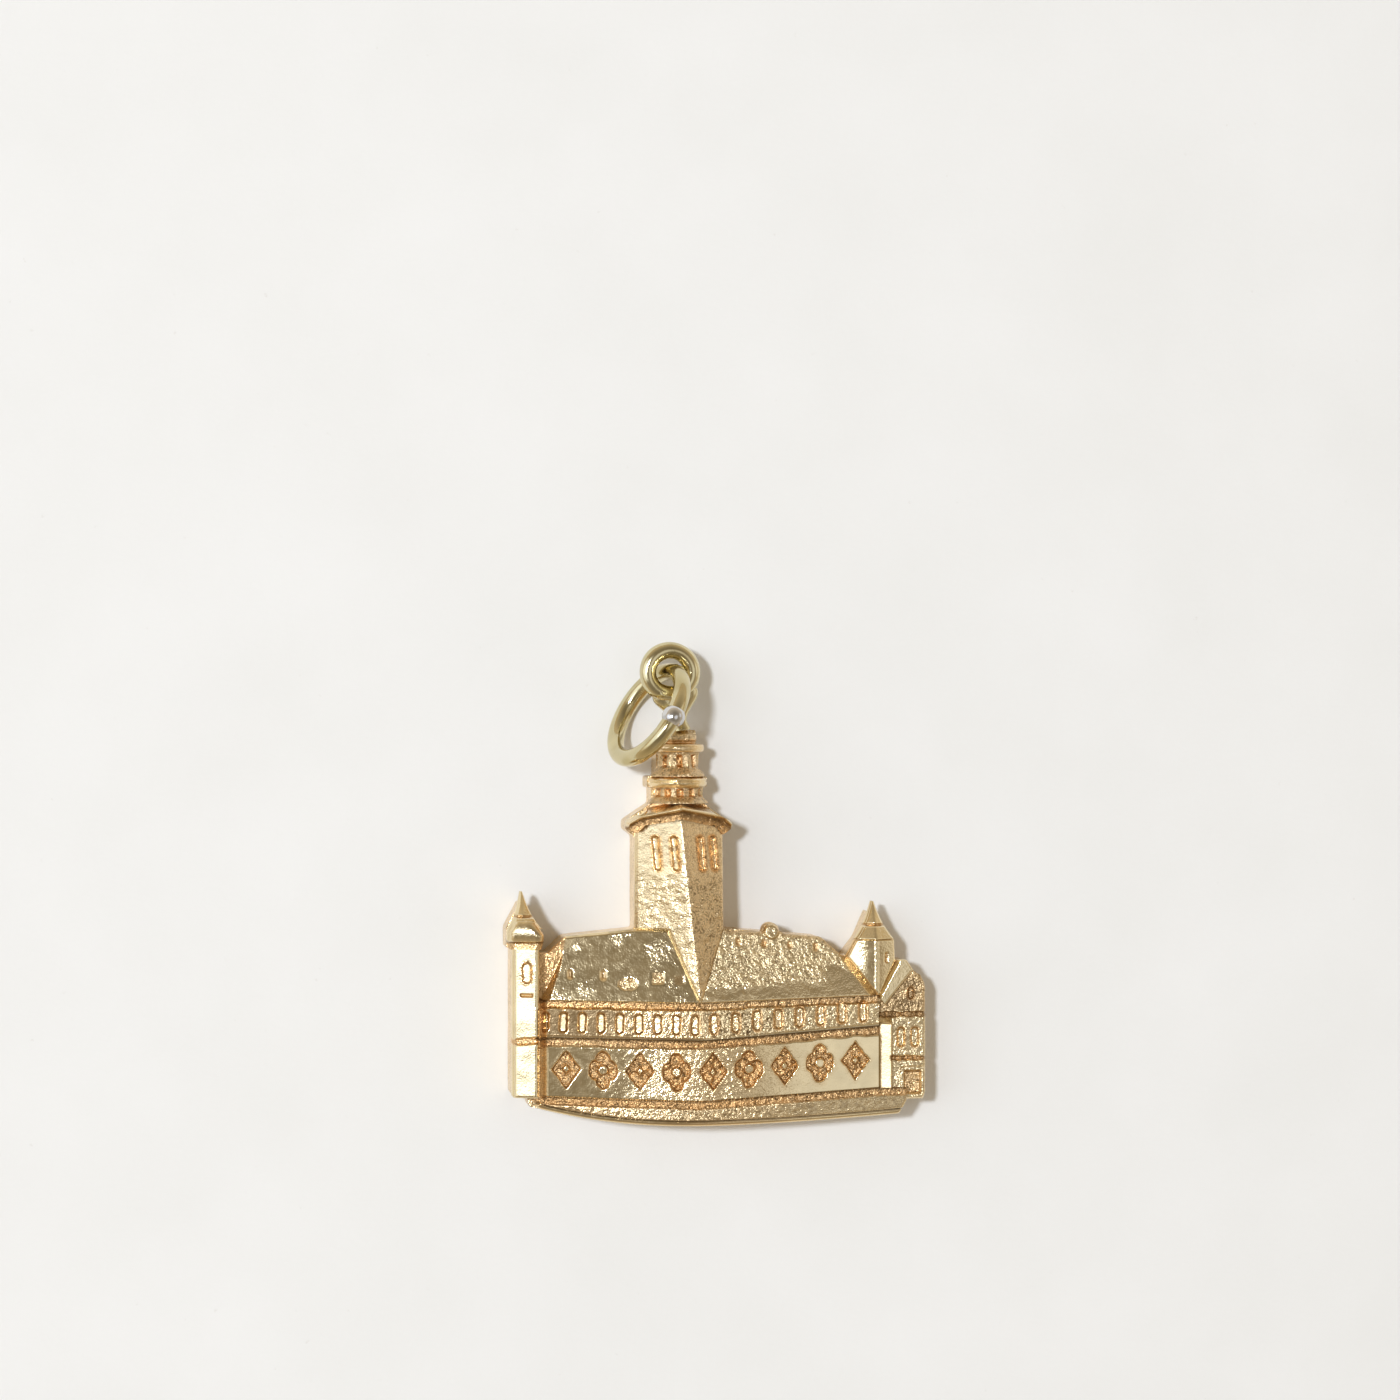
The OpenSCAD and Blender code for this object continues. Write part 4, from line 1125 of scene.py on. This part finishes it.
def build_ring():
    """Loose ring and the bead of solder that closes it, in the ring's own plane."""
    mount = next(m for m in frame["record"]["mounts"] if m["name"] == "ring_opening")
    centre = np.array(mount["pos_m"]) / MM
    axis = np.array(mount["axis"], float)
    bead_low, bead_high = corners("ring_solder")
    bead = (bead_low + bead_high) / 2
    mean = np.linalg.norm(bead - centre)
    wire = mean - mount["dims"]["r_mm"]
    first = (bead - centre) / mean
    second = np.cross(axis, first)
    half_cut = np.radians(4)
    t = np.linspace(half_cut, 2 * np.pi - half_cut, 300)
    side = first * np.cos(t)[:, None] + second * np.sin(t)[:, None]
    flow = -first * np.sin(t)[:, None] + second * np.cos(t)[:, None]
    up = np.cross(side, flow)
    around = np.linspace(0, 2 * np.pi, AROUND, endpoint=False)
    radius = wire * (1 - 0.015 * np.cos(2 * around)[None]) + 0.007 * grain(
        t[:, None] * mean, around[None] * wire, 0.9, 3)
    stripes = ease(0.0, 0.7, grain(t[:, None] * mean, around[None] * wire, 0.75, 6))
    ring = tube(centre + mean * side, side, up, np.minimum(radius, wire), False, rough=0.04,
                tint=0.7 * stripes)
    add_piece("jump_ring", "pale_gold", ring, body="ring")
    size = (bead_high[0] - bead_low[0]) / 2
    s = np.linspace(0.0, np.pi, 60)
    lumps = 1 + 0.035 * np.sin(3 * s)[:, None] * np.cos(around + 0.7)[None]
    path = bead - second * (size * np.cos(s))[:, None]
    path[[0, -1]] = bead - second * np.array([[size], [-size]])
    bead_radius = np.maximum(size * np.sin(s), 0.004)[:, None] * lumps
    blob = tube(path, np.tile(first, (60, 1)), np.tile(np.cross(first, second), (60, 1)),
                np.minimum(bead_radius, size), False, rough=0.1,
                dark=0.25 * ease(0.2, 0.5, grain(s[:, None] * size, around[None] * size, 0.4, 2)))
    add_piece("ring_solder", "solder", blob, body="ring")


build_back()
build_plinth()
build_lower_wall()
build_arcade()
build_left_roof()
build_right_roof()
build_shaft()
build_cornice()
build_lantern()
build_left_tower()
build_left_cap()
spire("left_spire", spire_low, spire_high, spire_high[0] - 0.95 - 0.05, seam + 1.75, seam + 0.55,
      0.30, 0.05)
build_turret()
roof_low, roof_high = corners("turret_roof")
spire("turret_roof", roof_low, roof_high, turret_foot[0] - 0.16, seam + 1.4, seam + 0.5, 0.34)
build_bay()
build_gable()
build_eye()
build_ring()


# ---------------------------------------------------------------- floor, light and camera

def build_floor():
    """A sheet of paper under the charm, far larger than any view needs."""
    half = 1.5
    mesh = bpy.data.meshes.new("floor")
    mesh.from_pydata([(-half, -half, 0), (half, -half, 0), (half, half, 0), (-half, half, 0)], [],
                     [(0, 1, 2, 3)])
    mesh.materials.append(paper("paper"))
    floor = bpy.data.objects.new("floor", mesh)
    bpy.context.scene.collection.objects.link(floor)


def direction(left, up):
    """Unit direction leaning left of and above the charm's own upright, in degrees."""
    a, b = np.radians(left), np.radians(up)
    return Vector((-np.sin(a) * np.cos(b), np.sin(b), np.cos(a) * np.cos(b)))


def area_light(name, towards, distance, width, height, power, colour):
    """A soft box that looks at the charm from the given direction."""
    data = bpy.data.lights.new(name, "AREA")
    data.shape = "RECTANGLE"
    data.size, data.size_y = width, height
    data.energy = power
    data.color = colour
    lamp = bpy.data.objects.new(name, data)
    bpy.context.scene.collection.objects.link(lamp)
    lamp.location = Vector(target) * MM + towards * distance
    lamp.rotation_mode = "QUATERNION"
    lamp.rotation_quaternion = towards.to_track_quat("Z", "Y")


# left, up, inner and outer half angle in degrees, and strength, of each bright patch of wall
PATCHES = ((34, 2, 6, 14, 1.9), (57, 4, 12, 28, 0.95), (-21, -3, 7, 22, 0.62), (-64, 6, 4, 18, 0.5))


def build_world():
    """Studio walls: pale round the horizon, dim overhead, with soft bright patches."""
    world = bpy.data.worlds.new("studio")
    bpy.context.scene.world = world
    world.use_nodes = True
    tree = world.node_tree
    back = tree.nodes["Background"]
    gaze = tree.nodes.new("ShaderNodeTexCoord").outputs["Generated"]

    def towards(aim):
        """Cosine of the angle between the gaze and a fixed direction."""
        node = tree.nodes.new("ShaderNodeVectorMath")
        node.operation = "DOT_PRODUCT"
        node.inputs[1].default_value = aim
        tree.links.new(gaze, node.inputs[0])
        return node.outputs["Value"]

    total = ramp(tree, towards((0, 0, 1)), 0.15, 0.85, 0.66, 0.25)
    white = None
    for left, up, inner, outer, strength in PATCHES:
        cosines = np.cos(np.radians([outer, inner]))
        glow = ramp(tree, towards(direction(left, up)), cosines[0], cosines[1], 0, strength)
        white = glow if white is None else combine(tree, "ADD", white, glow)
    colour = blend_colour(tree, ramp(tree, white, 0, 0.8, 0, 1), WARM, COOL)
    tree.links.new(colour, back.inputs["Color"])
    tree.links.new(combine(tree, "ADD", total, white), back.inputs["Strength"])


VIEW_LEFT = 8.0          # degrees by which the camera stands to the charm's left
VIEW_WIDTH = 70.0        # millimetres across the frame at the charm
target = np.array([-0.80, 9.1, 1.907])


def build_camera():
    """Camera looking down on the charm from a little to its left."""
    data = bpy.data.cameras.new("camera")
    data.lens, data.sensor_width = 100, 36
    camera = bpy.data.objects.new("camera", data)
    bpy.context.scene.collection.objects.link(camera)
    aim = direction(VIEW_LEFT, 0)
    distance = VIEW_WIDTH * data.lens / data.sensor_width
    camera.location = (Vector(target) + aim * distance) * MM
    camera.rotation_mode = "QUATERNION"
    across = Vector((np.cos(np.radians(VIEW_LEFT)), 0, np.sin(np.radians(VIEW_LEFT))))
    camera.rotation_quaternion = Matrix((across, aim.cross(across), aim)).transposed().to_quaternion()
    data.clip_start, data.clip_end = 0.01, 10
    bpy.context.scene.camera = camera


build_floor()
build_world()
area_light("key", direction(22, 7), 0.6, 0.045, 0.045, 2.05, COOL)
build_camera()
bpy.context.scene.view_settings.view_transform = "Standard"
